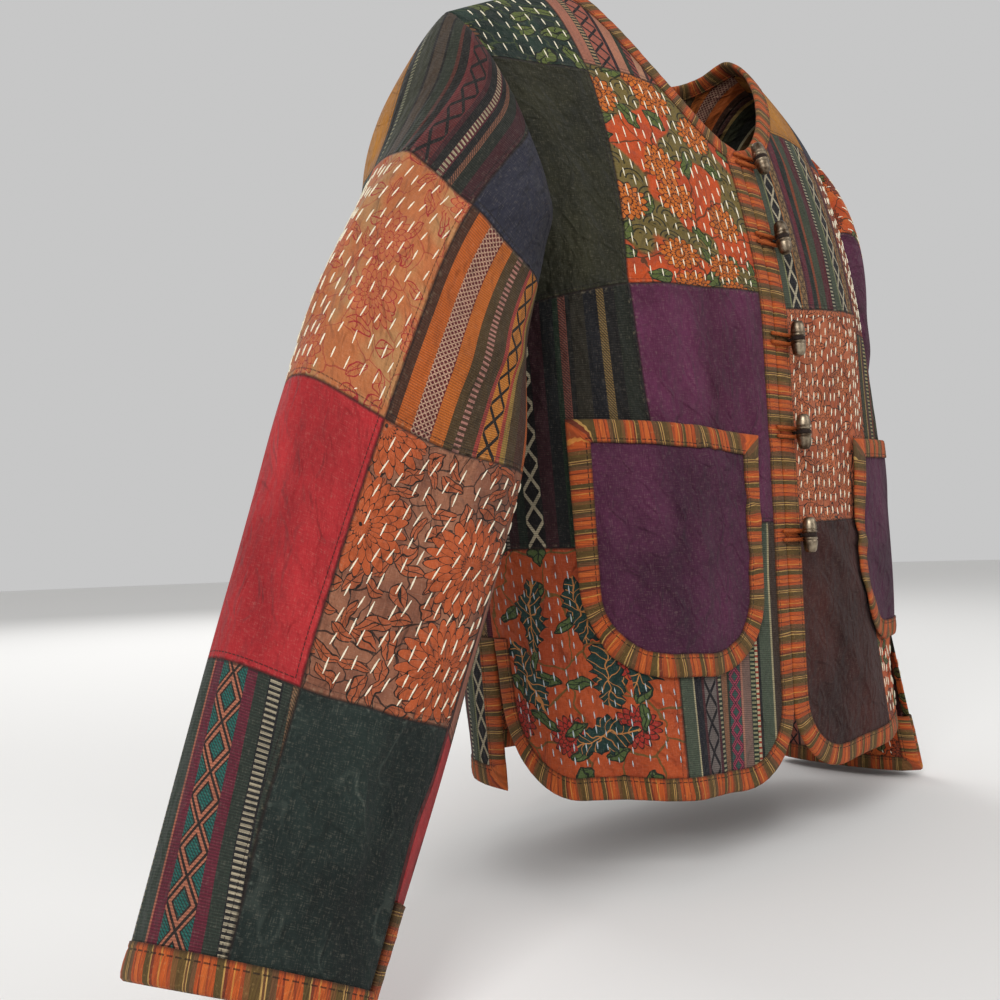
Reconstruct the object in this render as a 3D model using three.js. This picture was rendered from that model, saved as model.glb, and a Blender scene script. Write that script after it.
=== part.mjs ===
// A kantha patchwork jacket, hollow as it is when worn, closed in front with five toggles.
// Units are millimetres. The wearer faces -Y, +X is the wearer's left and +Z is up.
// The origin lies midway between the two points where the shoulder seams meet the neck.
import * as THREE from 'three';

// Cloth, seams and trim
const WALL = 2.4;
const SEAM_GAP = 0.3;
const BINDING_WIDTH = 15;
const BINDING_WALL = 4.4;
const INSET = SEAM_GAP / 2 + BINDING_WIDTH + SEAM_GAP;

// Flat pattern of the body: "across" is measured along the cloth from the centre line to the
// side seam, "rise" along the cloth upwards from the hem
const PANEL_WIDTH = 280;
const HEM_Z = -634;
const FRONT_DIP = 14;
const LOWEST_Z = -700;
const HEM_CORNER_RADIUS = 52;
const SLIT_RISE = 112;
const SLIT_LEAN = 4;
const ARMHOLE_ACROSS = 212;
const ARMHOLE_TURN_Z = -200;
const UNDERARM_Z = -285;

// Shoulder line and neckline
const NECK_X = 100;
const TIP_X = 226;
const TIP_Z = -60;
const NECK_LIFT = 14;
const SHOULDER_CURVE = 1.12;
const FRONT_NECK_Z = -150;
const BACK_NECK_Z = -38;
const NECK_CURVE = 1.45;
const BACK_NECK_CURVE = 2.4;

// Above these heights the cloth curves in from the chest and the shoulder blades to the shoulder
const CHEST_Z = -285;
const BLADE_Z = -205;
const CHEST_ROUND = 1.52;
const BLADE_ROUND = 1.85;
const SHOULDER_BLEND_Z = -220;

// Horizontal sections of the body: half widths to each side, depths in front and behind, and
// how far the right side seam is drawn forwards
const BODY_SECTIONS = [
  { z: -700, right: 196, left: 254, front: 121, back: 121, square: 2.5, seamShift: -18 },
  { z: -560, right: 205, left: 250, front: 120, back: 115, square: 2.55, seamShift: -12 },
  { z: -420, right: 215, left: 240, front: 119, back: 108, square: 2.65, seamShift: -5 },
  { z: -285, right: 223, left: 226, front: 117, back: 106, square: 2.75, seamShift: 0 },
  { z: -200, right: 222, left: 220, front: 115, back: 102, square: 3.1, seamShift: 0 },
  { z: 20, right: 222, left: 222, front: 112, back: 98, square: 3.3, seamShift: 0 },
];

// Soft folds on each body panel, as ridges (or troughs, where negative) from one place to
// another on the flat pattern. They fade out towards the side seam and the centre line.
const SEAM_FADE = 26;
const CENTRE_FADE = 14;
const BODY_FOLDS = {
  front_right: [
    { fromAcross: 150, fromRise: 300, toAcross: 122, toRise: -20, fromHeight: 0, toHeight: 9, width: 26 },
    { fromAcross: 215, fromRise: 330, toAcross: 178, toRise: -20, fromHeight: -2, toHeight: -7, width: 30 },
    { fromAcross: 205, fromRise: 560, toAcross: 150, toRise: 360, fromHeight: -4, toHeight: 0, width: 22 },
    { fromAcross: 60, fromRise: 330, toAcross: 70, toRise: -20, fromHeight: 0, toHeight: -4, width: 30 },
    { fromAcross: 190, fromRise: 470, toAcross: 245, toRise: 330, fromHeight: 4, toHeight: 5, width: 18 },
  ],
  front_left: [
    { fromAcross: 30, fromRise: 215, toAcross: 150, toRise: -20, fromHeight: 2, toHeight: 6, width: 26 },
    { fromAcross: 80, fromRise: 250, toAcross: 215, toRise: 10, fromHeight: -3, toHeight: -6, width: 26 },
    { fromAcross: 210, fromRise: 560, toAcross: 150, toRise: 380, fromHeight: -5, toHeight: 0, width: 22 },
    { fromAcross: 190, fromRise: 330, toAcross: 205, toRise: -20, fromHeight: 5, toHeight: 9, width: 36 },
  ],
  back_right: [
    { fromAcross: 95, fromRise: 480, toAcross: 120, toRise: -20, fromHeight: 0, toHeight: 8, width: 28 },
    { fromAcross: 175, fromRise: 420, toAcross: 190, toRise: -20, fromHeight: 0, toHeight: -8, width: 32 },
    { fromAcross: 30, fromRise: 400, toAcross: 55, toRise: -20, fromHeight: 0, toHeight: -5, width: 28 },
    { fromAcross: 200, fromRise: 560, toAcross: 235, toRise: 330, fromHeight: 5, toHeight: 3, width: 20 },
  ],
  back_left: [
    { fromAcross: 70, fromRise: 460, toAcross: 95, toRise: -20, fromHeight: 0, toHeight: 9, width: 28 },
    { fromAcross: 150, fromRise: 430, toAcross: 170, toRise: -20, fromHeight: 0, toHeight: -7, width: 30 },
    { fromAcross: 210, fromRise: 300, toAcross: 215, toRise: -20, fromHeight: 0, toHeight: 4, width: 22 },
    { fromAcross: 200, fromRise: 560, toAcross: 232, toRise: 330, fromHeight: 5, toHeight: 3, width: 20 },
  ],
};

// Sleeves: the line under the arm and the line over it, with the half thickness between them.
// The wearer's right sleeve is held out forwards, the left one hangs limp.
const SLEEVES = {
  right: {
    stations: [
      { at: 0, underX: -226, underY: 0, underZ: -281, overX: -229, overY: 0, overZ: -61, half: 62 },
      { at: 0.05, underX: -235, underY: -14, underZ: -284, overX: -244, overY: -6, overZ: -82, half: 72 },
      { at: 0.16, underX: -240, underY: -56, underZ: -318, overX: -284, overY: -22, overZ: -160, half: 77 },
      { at: 0.36, underX: -267, underY: -104, underZ: -410, overX: -360, overY: -30, overZ: -294, half: 72 },
      { at: 0.66, underX: -347, underY: -145, underZ: -541, overX: -442, overY: -69, overZ: -474, half: 49 },
      { at: 1, underX: -426, underY: -166, underZ: -678, overX: -518, overY: -110, overZ: -648, half: 40 },
    ],
    folds: [
      { fromAround: 0.2, fromAlong: 0.1, toAround: 0.42, toAlong: 0.5, height: 5, width: 16 },
      { fromAround: 0.08, fromAlong: 0.2, toAround: 0.2, toAlong: 0.55, height: -4, width: 15 },
      { fromAround: 0.12, fromAlong: 0.62, toAround: 0.3, toAlong: 0.9, height: 4, width: 14 },
      { fromAround: 0.62, fromAlong: 0.15, toAround: 0.8, toAlong: 0.55, height: 6, width: 18 },
      { fromAround: 0.85, fromAlong: 0.45, toAround: 0.7, toAlong: 0.85, height: -5, width: 16 },
    ],
  },
  left: {
    stations: [
      { at: 0, underX: 228, underY: 0, underZ: -281, overX: 229, overY: 0, overZ: -61, half: 62 },
      { at: 0.05, underX: 237, underY: 0, underZ: -283, overX: 247, overY: 9, overZ: -88, half: 66 },
      { at: 0.16, underX: 246, underY: -12, underZ: -316, overX: 279, overY: 28, overZ: -184, half: 45 },
      { at: 0.36, underX: 264, underY: -34, underZ: -415, overX: 284, overY: 64, overZ: -335, half: 24 },
      { at: 0.66, underX: 280, underY: -46, underZ: -545, overX: 284, overY: 84, overZ: -515, half: 19 },
      { at: 1, underX: 298, underY: -64, underZ: -692, overX: 282, overY: 88, overZ: -692, half: 20 },
    ],
    folds: [
      { fromAround: 0.15, fromAlong: 0.12, toAround: 0.4, toAlong: 0.42, height: 6, width: 16 },
      { fromAround: 0.3, fromAlong: 0.3, toAround: 0.22, toAlong: 0.8, height: -5, width: 16 },
      { fromAround: 0.36, fromAlong: 0.55, toAround: 0.3, toAlong: 0.95, height: 4, width: 14 },
      { fromAround: 0.62, fromAlong: 0.12, toAround: 0.58, toAlong: 0.5, height: 6, width: 18 },
    ],
  },
};
const SLEEVE_SQUARE = 2.15;
const SLEEVE_RINGS = [0, 0.02, 0.045, 0.075, 0.12, 0.18, 0.24, 0.3, 0.36, 0.42, 0.54, 0.6, 0.66,
  0.72, 0.78, 0.84];
const ELBOW_SEAM = 0.48;
const CUFF_SLIT = 66;
const CUFF_GAP = 0.7;

// Parts of a sleeve's length over which its head leaves the armhole, its axis turns square to
// its run, and its lengthwise lines become even
const HEAD_BLEND = 0.1;
const HEAD_CURVE = 1.6;
const HEAD_REACH = 0.3;
const EVEN_REACH = 0.8;

// Just under the arm the cloth turns over the end of the side seam before it hangs down
const UNDERARM_LINES = 4;
const UNDERARM_TURN = [
  { ring: 1, up: 3.2, out: 2.5 },
  { ring: 2, up: 1.5, out: 3.5 },
];

// Patch pockets, placed on the flat pattern of a front. The left one sits nearer its side seam.
const POCKET = { width: 164, bottom: 86, top: 266, corner: 62, wall: 2, bindingWall: 3.4, lift: 1.7 };
const POCKET_INNER = { right: 36, left: 104 };

// Toggles on the left front with the cloth loops of the right front
const TOGGLE_HEIGHTS = [-150, -219, -300, -374, -455];
const TOGGLE_ACROSS = 15;
const TOGGLE_LENGTH = 28;
const TOGGLE_RADIUS = 5.6;
const TOGGLE_SIDES = 12;
const LOOP_RADIUS = 1.5;
const LOOP_REACH = 9;
const THREAD_ROOM = 1.9;

const COLOURS = {
  cloth: { color: 0x7a4030, roughness: 0.9, metalness: 0 },
  sleeve: { color: 0x9a4a28, roughness: 0.9, metalness: 0 },
  binding: { color: 0xc06a2c, roughness: 0.85, metalness: 0 },
  pocket: { color: 0x4f2440, roughness: 0.9, metalness: 0 },
  metal: { color: 0xb0a591, roughness: 0.35, metalness: 0.9 },
};

const jacket = new THREE.Group();

function addPiece(name, geometry, look) {
  const mesh = new THREE.Mesh(geometry, new THREE.MeshStandardMaterial(COLOURS[look]));
  mesh.name = name;
  jacket.add(mesh);
  return mesh;
}

function mix(a, b, t) {
  return a + (b - a) * t;
}

function smooth(t) {
  const c = Math.min(1, Math.max(0, t));
  return c * c * (3 - 2 * c);
}

// A smooth curve through one column of a table, read at a value of another column
function readTable(rows, key, column, value) {
  let k = 0;
  while (k < rows.length - 2 && value > rows[k + 1][key]) {
    k += 1;
  }
  const slope = (i) => {
    const before = rows[Math.max(0, i - 1)];
    const after = rows[Math.min(rows.length - 1, i + 1)];
    return (after[column] - before[column]) / (after[key] - before[key]);
  };
  const span = rows[k + 1][key] - rows[k][key];
  const t = Math.min(1, Math.max(0, (value - rows[k][key]) / span));
  const t2 = t * t;
  const t3 = t2 * t;
  return (2 * t3 - 3 * t2 + 1) * rows[k][column] + (t3 - 2 * t2 + t) * span * slope(k)
    + (3 * t2 - 2 * t3) * rows[k + 1][column] + (t3 - t2) * span * slope(k + 1);
}

// Height of the line over the shoulders
function shoulderZ(x) {
  if (x <= NECK_X) {
    return NECK_LIFT * (1 - x / NECK_X);
  }
  return TIP_Z * ((x - NECK_X) / (TIP_X - NECK_X)) ** SHOULDER_CURVE;
}

// A quarter of a rounded section, from the centre line (part 0) to the side (part 1), by length
function quarterPoint(halfWidth, depth, square, part) {
  const steps = 48;
  const points = [];
  const lengths = [0];
  for (let k = 0; k <= steps; k += 1) {
    const angle = (k / steps) * Math.PI / 2;
    points.push([halfWidth * Math.sin(angle) ** (2 / square), depth * Math.cos(angle) ** (2 / square)]);
    if (k > 0) {
      const [x0, y0] = points[k - 1];
      lengths.push(lengths[k - 1] + Math.hypot(points[k][0] - x0, points[k][1] - y0));
    }
  }
  const wanted = part * lengths[steps];
  let k = 1;
  while (k < steps && lengths[k] < wanted) {
    k += 1;
  }
  const t = (wanted - lengths[k - 1]) / (lengths[k] - lengths[k - 1]);
  return [mix(points[k - 1][0], points[k][0], t), mix(points[k - 1][1], points[k][1], t)];
}

// One line of the body's cloth from the shoulder down past the hem, with the rise of its points
const columnCache = new Map();
function bodyColumn(side, face, across) {
  const key = `${side} ${face} ${across.toFixed(3)}`;
  if (columnCache.has(key)) {
    return columnCache.get(key);
  }
  const part = across / PANEL_WIDTH;
  const shoulderX = TIP_X * across / ARMHOLE_ACROSS;
  const top = shoulderZ(shoulderX);
  const fullZ = face < 0 ? CHEST_Z : BLADE_Z;
  const round = face < 0 ? CHEST_ROUND : BLADE_ROUND;
  const halfColumn = side < 0 ? 'right' : 'left';
  const depthColumn = face < 0 ? 'front' : 'back';
  const curveSteps = 36;
  const straightSteps = 48;
  const points = [];
  for (let k = 0; k <= curveSteps + straightSteps; k += 1) {
    const angle = Math.min(1, k / curveSteps) * Math.PI / 2;
    const reach = Math.sin(angle) ** (2 / round);
    const drop = k <= curveSteps ? 1 - Math.max(0, Math.cos(angle)) ** (2 / round) : 1;
    const fall = Math.max(0, k - curveSteps) / straightSteps;
    const z = mix(top, fullZ, drop) + (LOWEST_Z - fullZ) * fall;
    const [sectionX, sectionY] = quarterPoint(
      readTable(BODY_SECTIONS, 'z', halfColumn, z),
      readTable(BODY_SECTIONS, 'z', depthColumn, z),
      readTable(BODY_SECTIONS, 'z', 'square', z),
      part,
    );
    const blend = smooth((top - z) / (top - SHOULDER_BLEND_Z));
    const shift = side < 0 ? readTable(BODY_SECTIONS, 'z', 'seamShift', z) * part ** 2 : 0;
    const x = side * mix(shoulderX, sectionX, blend);
    points.push(new THREE.Vector3(x, face * sectionY * reach + shift, z));
  }
  const lengths = [0];
  for (let k = 1; k < points.length; k += 1) {
    lengths.push(lengths[k - 1] + points[k].distanceTo(points[k - 1]));
  }
  const lengthAtZ = (z) => {
    let k = 1;
    while (k < points.length - 1 && points[k].z > z) {
      k += 1;
    }
    const t = (points[k - 1].z - z) / (points[k - 1].z - points[k].z);
    return mix(lengths[k - 1], lengths[k], t);
  };
  const hemLength = lengthAtZ(HEM_Z - (face < 0 ? FRONT_DIP * (1 - part) ** 2 : 0));
  const column = {
    shoulderRise: hemLength,
    riseAt: (z) => hemLength - lengthAtZ(z),
    point: (rise) => {
      const wanted = hemLength - rise;
      let k = 1;
      while (k < points.length - 1 && lengths[k] < wanted) {
        k += 1;
      }
      const t = (wanted - lengths[k - 1]) / (lengths[k] - lengths[k - 1]);
      return points[k - 1].clone().lerp(points[k], t);
    },
  };
  columnCache.set(key, column);
  return column;
}

function foldHeight(folds, across, rise) {
  let total = 0;
  for (const fold of folds) {
    const du = fold.toAcross - fold.fromAcross;
    const dr = fold.toRise - fold.fromRise;
    const length = Math.hypot(du, dr);
    const along = ((across - fold.fromAcross) * du + (rise - fold.fromRise) * dr) / length ** 2;
    const aside = ((across - fold.fromAcross) * dr - (rise - fold.fromRise) * du) / length;
    const ends = smooth((along + 0.15) / 0.4) * smooth((1.25 - along) / 0.25);
    const height = mix(fold.fromHeight, fold.toHeight, Math.min(1, Math.max(0, along)));
    total += height * ends * Math.exp(-((aside / fold.width) ** 2));
  }
  return total;
}

// A body panel's smooth surface: where a place of the flat pattern lies, and which way it faces
function bodySurface(name, side, face) {
  const folds = BODY_FOLDS[name];
  const step = 1.5;
  const plain = (across, rise) => bodyColumn(side, face, across).point(rise);
  const facing = (place, across, rise) => {
    const low = Math.max(0, across - step);
    const high = Math.min(PANEL_WIDTH, across + step);
    const sideways = place(high, rise).sub(place(low, rise));
    const upwards = place(across, rise + step).sub(place(across, rise - step));
    return sideways.cross(upwards).multiplyScalar(-side * face).normalize();
  };
  const fade = (across) => smooth((PANEL_WIDTH - across) / SEAM_FADE) * smooth(across / CENTRE_FADE);
  const place = (across, rise) => {
    const point = plain(across, rise);
    const height = foldHeight(folds, across, rise) * fade(across);
    return point.addScaledVector(facing(plain, across, rise), height);
  };
  // At the shoulder seam the cloth lies level, so that front and back meet squarely
  const normal = (across, rise) => {
    const way = facing(place, across, rise);
    way.y *= smooth((bodyColumn(side, face, across).shoulderRise - rise - 0.5) / 8);
    return way.normalize();
  };
  return { side, face, place, normal };
}

const surfaces = {
  front_right: bodySurface('front_right', -1, -1),
  front_left: bodySurface('front_left', 1, -1),
  back_right: bodySurface('back_right', -1, 1),
  back_left: bodySurface('back_left', 1, 1),
};

// A closed solid from points and triangles, with its faces pointing out
function solidFrom(points, triangles) {
  let volume = 0;
  for (const [a, b, c] of triangles) {
    volume += points[a].dot(points[b].clone().cross(points[c]));
  }
  const ordered = volume < 0 ? triangles.map(([a, b, c]) => [a, c, b]) : triangles;
  const geometry = new THREE.BufferGeometry();
  const places = points.flatMap((point) => [point.x, point.y, point.z]);
  geometry.setAttribute('position', new THREE.Float32BufferAttribute(places, 3));
  geometry.setIndex(ordered.flat());
  geometry.computeVertexNormals();
  return geometry;
}

// A cloth wall over a grid of places. hasCell says which cells of the grid are cloth, and
// around says that the last column of cells joins the first.
function wallSolid({ columns, rows, hasCell, place, normal, wall, lift = 0, around = false }) {
  const points = [];
  const triangles = [];
  const known = new Map();
  const corner = (i, j, layer) => {
    const column = around ? i % columns : i;
    const key = `${column} ${j} ${layer}`;
    if (!known.has(key)) {
      const offset = lift + (layer === 0 ? wall / 2 : -wall / 2);
      points.push(place(column, j).clone().addScaledVector(normal(column, j), offset));
      known.set(key, points.length - 1);
    }
    return known.get(key);
  };
  const inside = (i, j) => {
    const column = around ? (i + columns) % columns : i;
    return column >= 0 && column < columns && j >= 0 && j < rows && hasCell(column, j);
  };
  const quad = (a, b, c, d) => triangles.push([a, b, c], [a, c, d]);
  for (let i = 0; i < columns; i += 1) {
    for (let j = 0; j < rows; j += 1) {
      if (!inside(i, j)) {
        continue;
      }
      const ring = [[i, j], [i + 1, j], [i + 1, j + 1], [i, j + 1]];
      const outer = ring.map(([a, b]) => corner(a, b, 0));
      const inner = ring.map(([a, b]) => corner(a, b, 1));
      quad(outer[0], outer[1], outer[2], outer[3]);
      triangles.push([inner[0], inner[2], inner[1]], [inner[0], inner[3], inner[2]]);
      const beyond = [[i, j - 1], [i + 1, j], [i, j + 1], [i - 1, j]];
      beyond.forEach(([a, b], k) => {
        if (!inside(a, b)) {
          const next = (k + 1) % 4;
          quad(outer[next], outer[k], inner[k], inner[next]);
        }
      });
    }
  }
  return solidFrom(points, triangles);
}

// A strip with a four-cornered section at each of its stations
function stripSolid(sections, closed) {
  const points = sections.flat();
  const triangles = [];
  const last = closed ? sections.length : sections.length - 1;
  for (let k = 0; k < last; k += 1) {
    const here = k * 4;
    const there = ((k + 1) % sections.length) * 4;
    for (let c = 0; c < 4; c += 1) {
      const d = (c + 1) % 4;
      triangles.push([here + c, there + c, there + d], [here + c, there + d, here + d]);
    }
  }
  if (!closed) {
    const end = (sections.length - 1) * 4;
    triangles.push([0, 1, 2], [0, 2, 3], [end, end + 2, end + 1], [end, end + 3, end + 2]);
  }
  return solidFrom(points, triangles);
}

// Binding that runs along an edge of the cloth, just outside it on the flat pattern. The
// directions at its two ends may be given, where it stops at a seam.
function bindingSections(edge, outward, place, normal, options = {}) {
  const { lift = 0, closed = false, firstWay, lastWay, wall = BINDING_WALL, gap = SEAM_GAP } = options;
  const count = edge.length;
  const wayBetween = (a, b) => {
    const du = b[0] - a[0];
    const dr = b[1] - a[1];
    const length = Math.hypot(du, dr);
    return [outward * dr / length, -outward * du / length];
  };
  return edge.map((here, k) => {
    const before = closed ? edge[(k + count - 1) % count] : edge[Math.max(0, k - 1)];
    const after = closed ? edge[(k + 1) % count] : edge[Math.min(count - 1, k + 1)];
    const wayIn = k === 0 && !closed ? wayBetween(here, after) : wayBetween(before, here);
    const wayOut = k === count - 1 && !closed ? wayIn : wayBetween(here, after);
    let way = [wayIn[0] + wayOut[0], wayIn[1] + wayOut[1]];
    const scale = 2 / (way[0] ** 2 + way[1] ** 2);
    way = [way[0] * scale, way[1] * scale];
    if (k === 0 && firstWay) {
      way = firstWay;
    }
    if (k === count - 1 && lastWay) {
      way = lastWay;
    }
    const at = (distance) => [here[0] + way[0] * distance, here[1] + way[1] * distance];
    const near = at(gap);
    const far = at(gap + BINDING_WIDTH);
    const point = ([u, r], offset) => place(u, r).clone().addScaledVector(normal(u, r), offset);
    return [
      point(near, lift - wall / 2),
      point(near, lift + wall / 2),
      point(far, lift + wall / 2),
      point(far, lift - wall / 2),
    ];
  });
}

// Places across a panel where its grid has a line, dense where its edges turn
function unique(values) {
  const sorted = [...values].sort((a, b) => a - b);
  return sorted.filter((value, k) => k === 0 || value - sorted[k - 1] > 2);
}

function cornerSteps(start, reach) {
  return [0, 30, 60, 90].map((degrees) => start + reach * (1 - Math.cos(degrees * Math.PI / 180)));
}

const SLIT_EDGE = PANEL_WIDTH - INSET;
const NECK_EDGE = NECK_X + INSET;
const SIDE_EDGE = PANEL_WIDTH - SEAM_GAP / 2;
const CENTRE_EDGE = INSET;
const ARMHOLE_STEPS = [ARMHOLE_ACROSS, 234, 249];
const FRONT_STEPS = unique([
  ...cornerSteps(CENTRE_EDGE, HEM_CORNER_RADIUS),
  84, 99, 109, NECK_EDGE, 136, 158, 180, 203,
  ...ARMHOLE_STEPS,
  ...cornerSteps(SLIT_EDGE, -HEM_CORNER_RADIUS).slice(0, 2),
  SIDE_EDGE,
]);
const BACK_STEPS = unique([
  0, 25, 50, 74, 96, NECK_EDGE, 138, 160, 182, 203,
  ...ARMHOLE_STEPS,
  SLIT_EDGE, SIDE_EDGE,
]);

// Rise of the armhole's lower edge, which turns from the upright edge to the side seam
function armholeRise(surface, across) {
  const turn = bodyColumn(surface.side, surface.face, ARMHOLE_ACROSS).riseAt(ARMHOLE_TURN_Z);
  if (across <= ARMHOLE_ACROSS) {
    return turn;
  }
  const bottom = bodyColumn(surface.side, surface.face, PANEL_WIDTH).riseAt(UNDERARM_Z);
  const reach = (PANEL_WIDTH - across) / (PANEL_WIDTH - ARMHOLE_ACROSS);
  return turn - (turn - bottom) * Math.sqrt(1 - reach ** 2);
}

// Rise of the panel's top edge: the neckline, then the shoulder seam
function topRise(surface, across) {
  const column = bodyColumn(surface.side, surface.face, across);
  if (across >= NECK_EDGE) {
    return column.shoulderRise - SEAM_GAP / 2;
  }
  const front = surface.face < 0;
  const start = front ? CENTRE_EDGE : 0;
  const low = bodyColumn(surface.side, surface.face, start).riseAt(front ? FRONT_NECK_Z : BACK_NECK_Z);
  const high = bodyColumn(surface.side, surface.face, NECK_EDGE).shoulderRise - SEAM_GAP / 2;
  const curve = front ? NECK_CURVE : BACK_NECK_CURVE;
  const part = (across - start) / (NECK_EDGE - start);
  return mix(low, high, 1 - (1 - part ** curve) ** (1 / curve));
}

// Rise of the cloth's lower edge: rounded corners on a front, square ones on the back
function bottomRise(surface, across) {
  const straight = BINDING_WIDTH + SEAM_GAP;
  if (surface.face > 0) {
    return straight;
  }
  const fromEdge = Math.min(across - CENTRE_EDGE, SLIT_EDGE - across);
  if (fromEdge >= HEM_CORNER_RADIUS || across > SLIT_EDGE) {
    return across > SLIT_EDGE ? straight + HEM_CORNER_RADIUS : straight;
  }
  const reach = HEM_CORNER_RADIUS - Math.max(0, fromEdge);
  return straight + HEM_CORNER_RADIUS - Math.sqrt(Math.max(0, HEM_CORNER_RADIUS ** 2 - reach ** 2));
}

const HEM_ROWS = 4;
const BODY_ROWS = 10;
const YOKE_ROWS = 9;
const ROWS = HEM_ROWS + BODY_ROWS + YOKE_ROWS;
const TURN_ROW = HEM_ROWS + BODY_ROWS;

// The side edge leans away from the slit towards the hem, which leaves the slit a little open
function leaned(across, rise) {
  const open = Math.max(0, 1 - rise / SLIT_RISE) * smooth((across - 200) / (SLIT_EDGE - 200));
  return across - SLIT_LEAN * open;
}

function flatPlace(surface, steps, i, j) {
  const across = steps[i];
  const turn = armholeRise(surface, across);
  let rise;
  if (j <= HEM_ROWS) {
    rise = mix(bottomRise(surface, across), SLIT_RISE, j / HEM_ROWS);
  } else if (j <= TURN_ROW) {
    rise = mix(SLIT_RISE, turn, (j - HEM_ROWS) / BODY_ROWS);
  } else {
    rise = mix(turn, topRise(surface, across), (j - TURN_ROW) / YOKE_ROWS);
  }
  return [leaned(across, rise), rise];
}

function panelHasCell(steps, i, j) {
  const middle = (steps[i] + steps[i + 1]) / 2;
  if (middle > SLIT_EDGE && j < HEM_ROWS) {
    return false;
  }
  return !(middle > ARMHOLE_ACROSS && j >= TURN_ROW);
}

// Fronts: cloth, then the binding round the neckline, the front edge, the hem and the slit
function buildFront(name, bindingName) {
  const surface = surfaces[name];
  const steps = FRONT_STEPS;
  const flat = (i, j) => flatPlace(surface, steps, i, j);
  addPiece(name, wallSolid({
    columns: steps.length - 1,
    rows: ROWS,
    hasCell: (i, j) => panelHasCell(steps, i, j),
    place: (i, j) => surface.place(...flat(i, j)),
    normal: (i, j) => surface.normal(...flat(i, j)),
    wall: WALL,
  }), 'cloth');
  const neckColumn = steps.indexOf(NECK_EDGE);
  const slitColumn = steps.indexOf(SLIT_EDGE);
  const edge = [];
  for (let i = neckColumn; i > 0; i -= 1) {
    edge.push(flat(i, ROWS));
  }
  for (let j = ROWS; j > 0; j -= 1) {
    edge.push(flat(0, j));
  }
  for (let i = 0; i < slitColumn; i += 1) {
    edge.push(flat(i, 0));
  }
  for (let j = 0; j < HEM_ROWS; j += 1) {
    edge.push(flat(slitColumn, j));
  }
  edge.push([SLIT_EDGE, SLIT_RISE - SEAM_GAP]);
  const sections = bindingSections(edge, 1, surface.place, surface.normal, {
    firstWay: shoulderEndWay(surface),
    lastWay: [1, 0],
  });
  addPiece(bindingName, stripSolid(sections, false), 'binding');
}

// At the shoulder a neck binding is cut off along the shoulder seam
function shoulderEndWay(surface) {
  const here = bodyColumn(surface.side, surface.face, NECK_EDGE).shoulderRise;
  const there = bodyColumn(surface.side, surface.face, NECK_EDGE - BINDING_WIDTH).shoulderRise;
  return [-1, (there - here) / BINDING_WIDTH];
}

// The back has a seam down its centre, where its halves meet squarely
function buildBackHalf(name) {
  const surface = surfaces[name];
  const steps = [SEAM_GAP / 2, ...BACK_STEPS.slice(1)];
  const flat = (i, j) => flatPlace(surface, steps, i, j);
  const normal = (i, j) => {
    const way = surface.normal(...flat(i, j));
    return i === 0 ? way.setX(0).normalize() : way;
  };
  addPiece(name, wallSolid({
    columns: steps.length - 1,
    rows: ROWS,
    hasCell: (i, j) => panelHasCell(steps, i, j),
    place: (i, j) => surface.place(...flat(i, j)),
    normal,
    wall: WALL,
  }), 'cloth');
}

// Bindings of the back, which run across both of its halves
function buildBackBindings() {
  const half = BACK_STEPS;
  const count = half.length - 1;
  const pick = (i) => (i < count
    ? { surface: surfaces.back_right, k: count - i }
    : { surface: surfaces.back_left, k: i - count });
  const flat = (i, j) => {
    const { surface, k } = pick(i);
    return flatPlace(surface, half, k, j);
  };
  const neckAt = half.indexOf(NECK_EDGE);
  const slitAt = half.indexOf(SLIT_EDGE);
  const signed = (i, j) => {
    const [across, rise] = flat(i, j);
    return [pick(i).surface.side * across, rise];
  };
  const surfaceAt = (across) => (across < 0 ? surfaces.back_right : surfaces.back_left);
  const place = (across, rise) => surfaceAt(across).place(Math.abs(across), rise);
  const normal = (across, rise) => surfaceAt(across).normal(Math.abs(across), rise);
  const neck = [];
  for (let i = count - neckAt; i <= count + neckAt; i += 1) {
    neck.push(signed(i, ROWS));
  }
  const [inward, along] = shoulderEndWay(surfaces.back_right);
  const neckSections = bindingSections(neck, -1, place, normal, {
    firstWay: [-inward, along],
    lastWay: [inward, along],
  });
  addPiece('binding_back_neck', stripSolid(neckSections, false), 'binding');
  const hem = [[-SLIT_EDGE, SLIT_RISE - SEAM_GAP]];
  for (let j = HEM_ROWS - 1; j > 0; j -= 1) {
    hem.push(signed(count - slitAt, j));
  }
  for (let i = count - slitAt; i <= count + slitAt; i += 1) {
    hem.push(signed(i, 0));
  }
  for (let j = 1; j < HEM_ROWS; j += 1) {
    hem.push(signed(count + slitAt, j));
  }
  hem.push([SLIT_EDGE, SLIT_RISE - SEAM_GAP]);
  const hemSections = bindingSections(hem, 1, place, normal, { firstWay: [-1, 0], lastWay: [1, 0] });
  addPiece('binding_back_hem', stripSolid(hemSections, false), 'binding');
}

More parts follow.
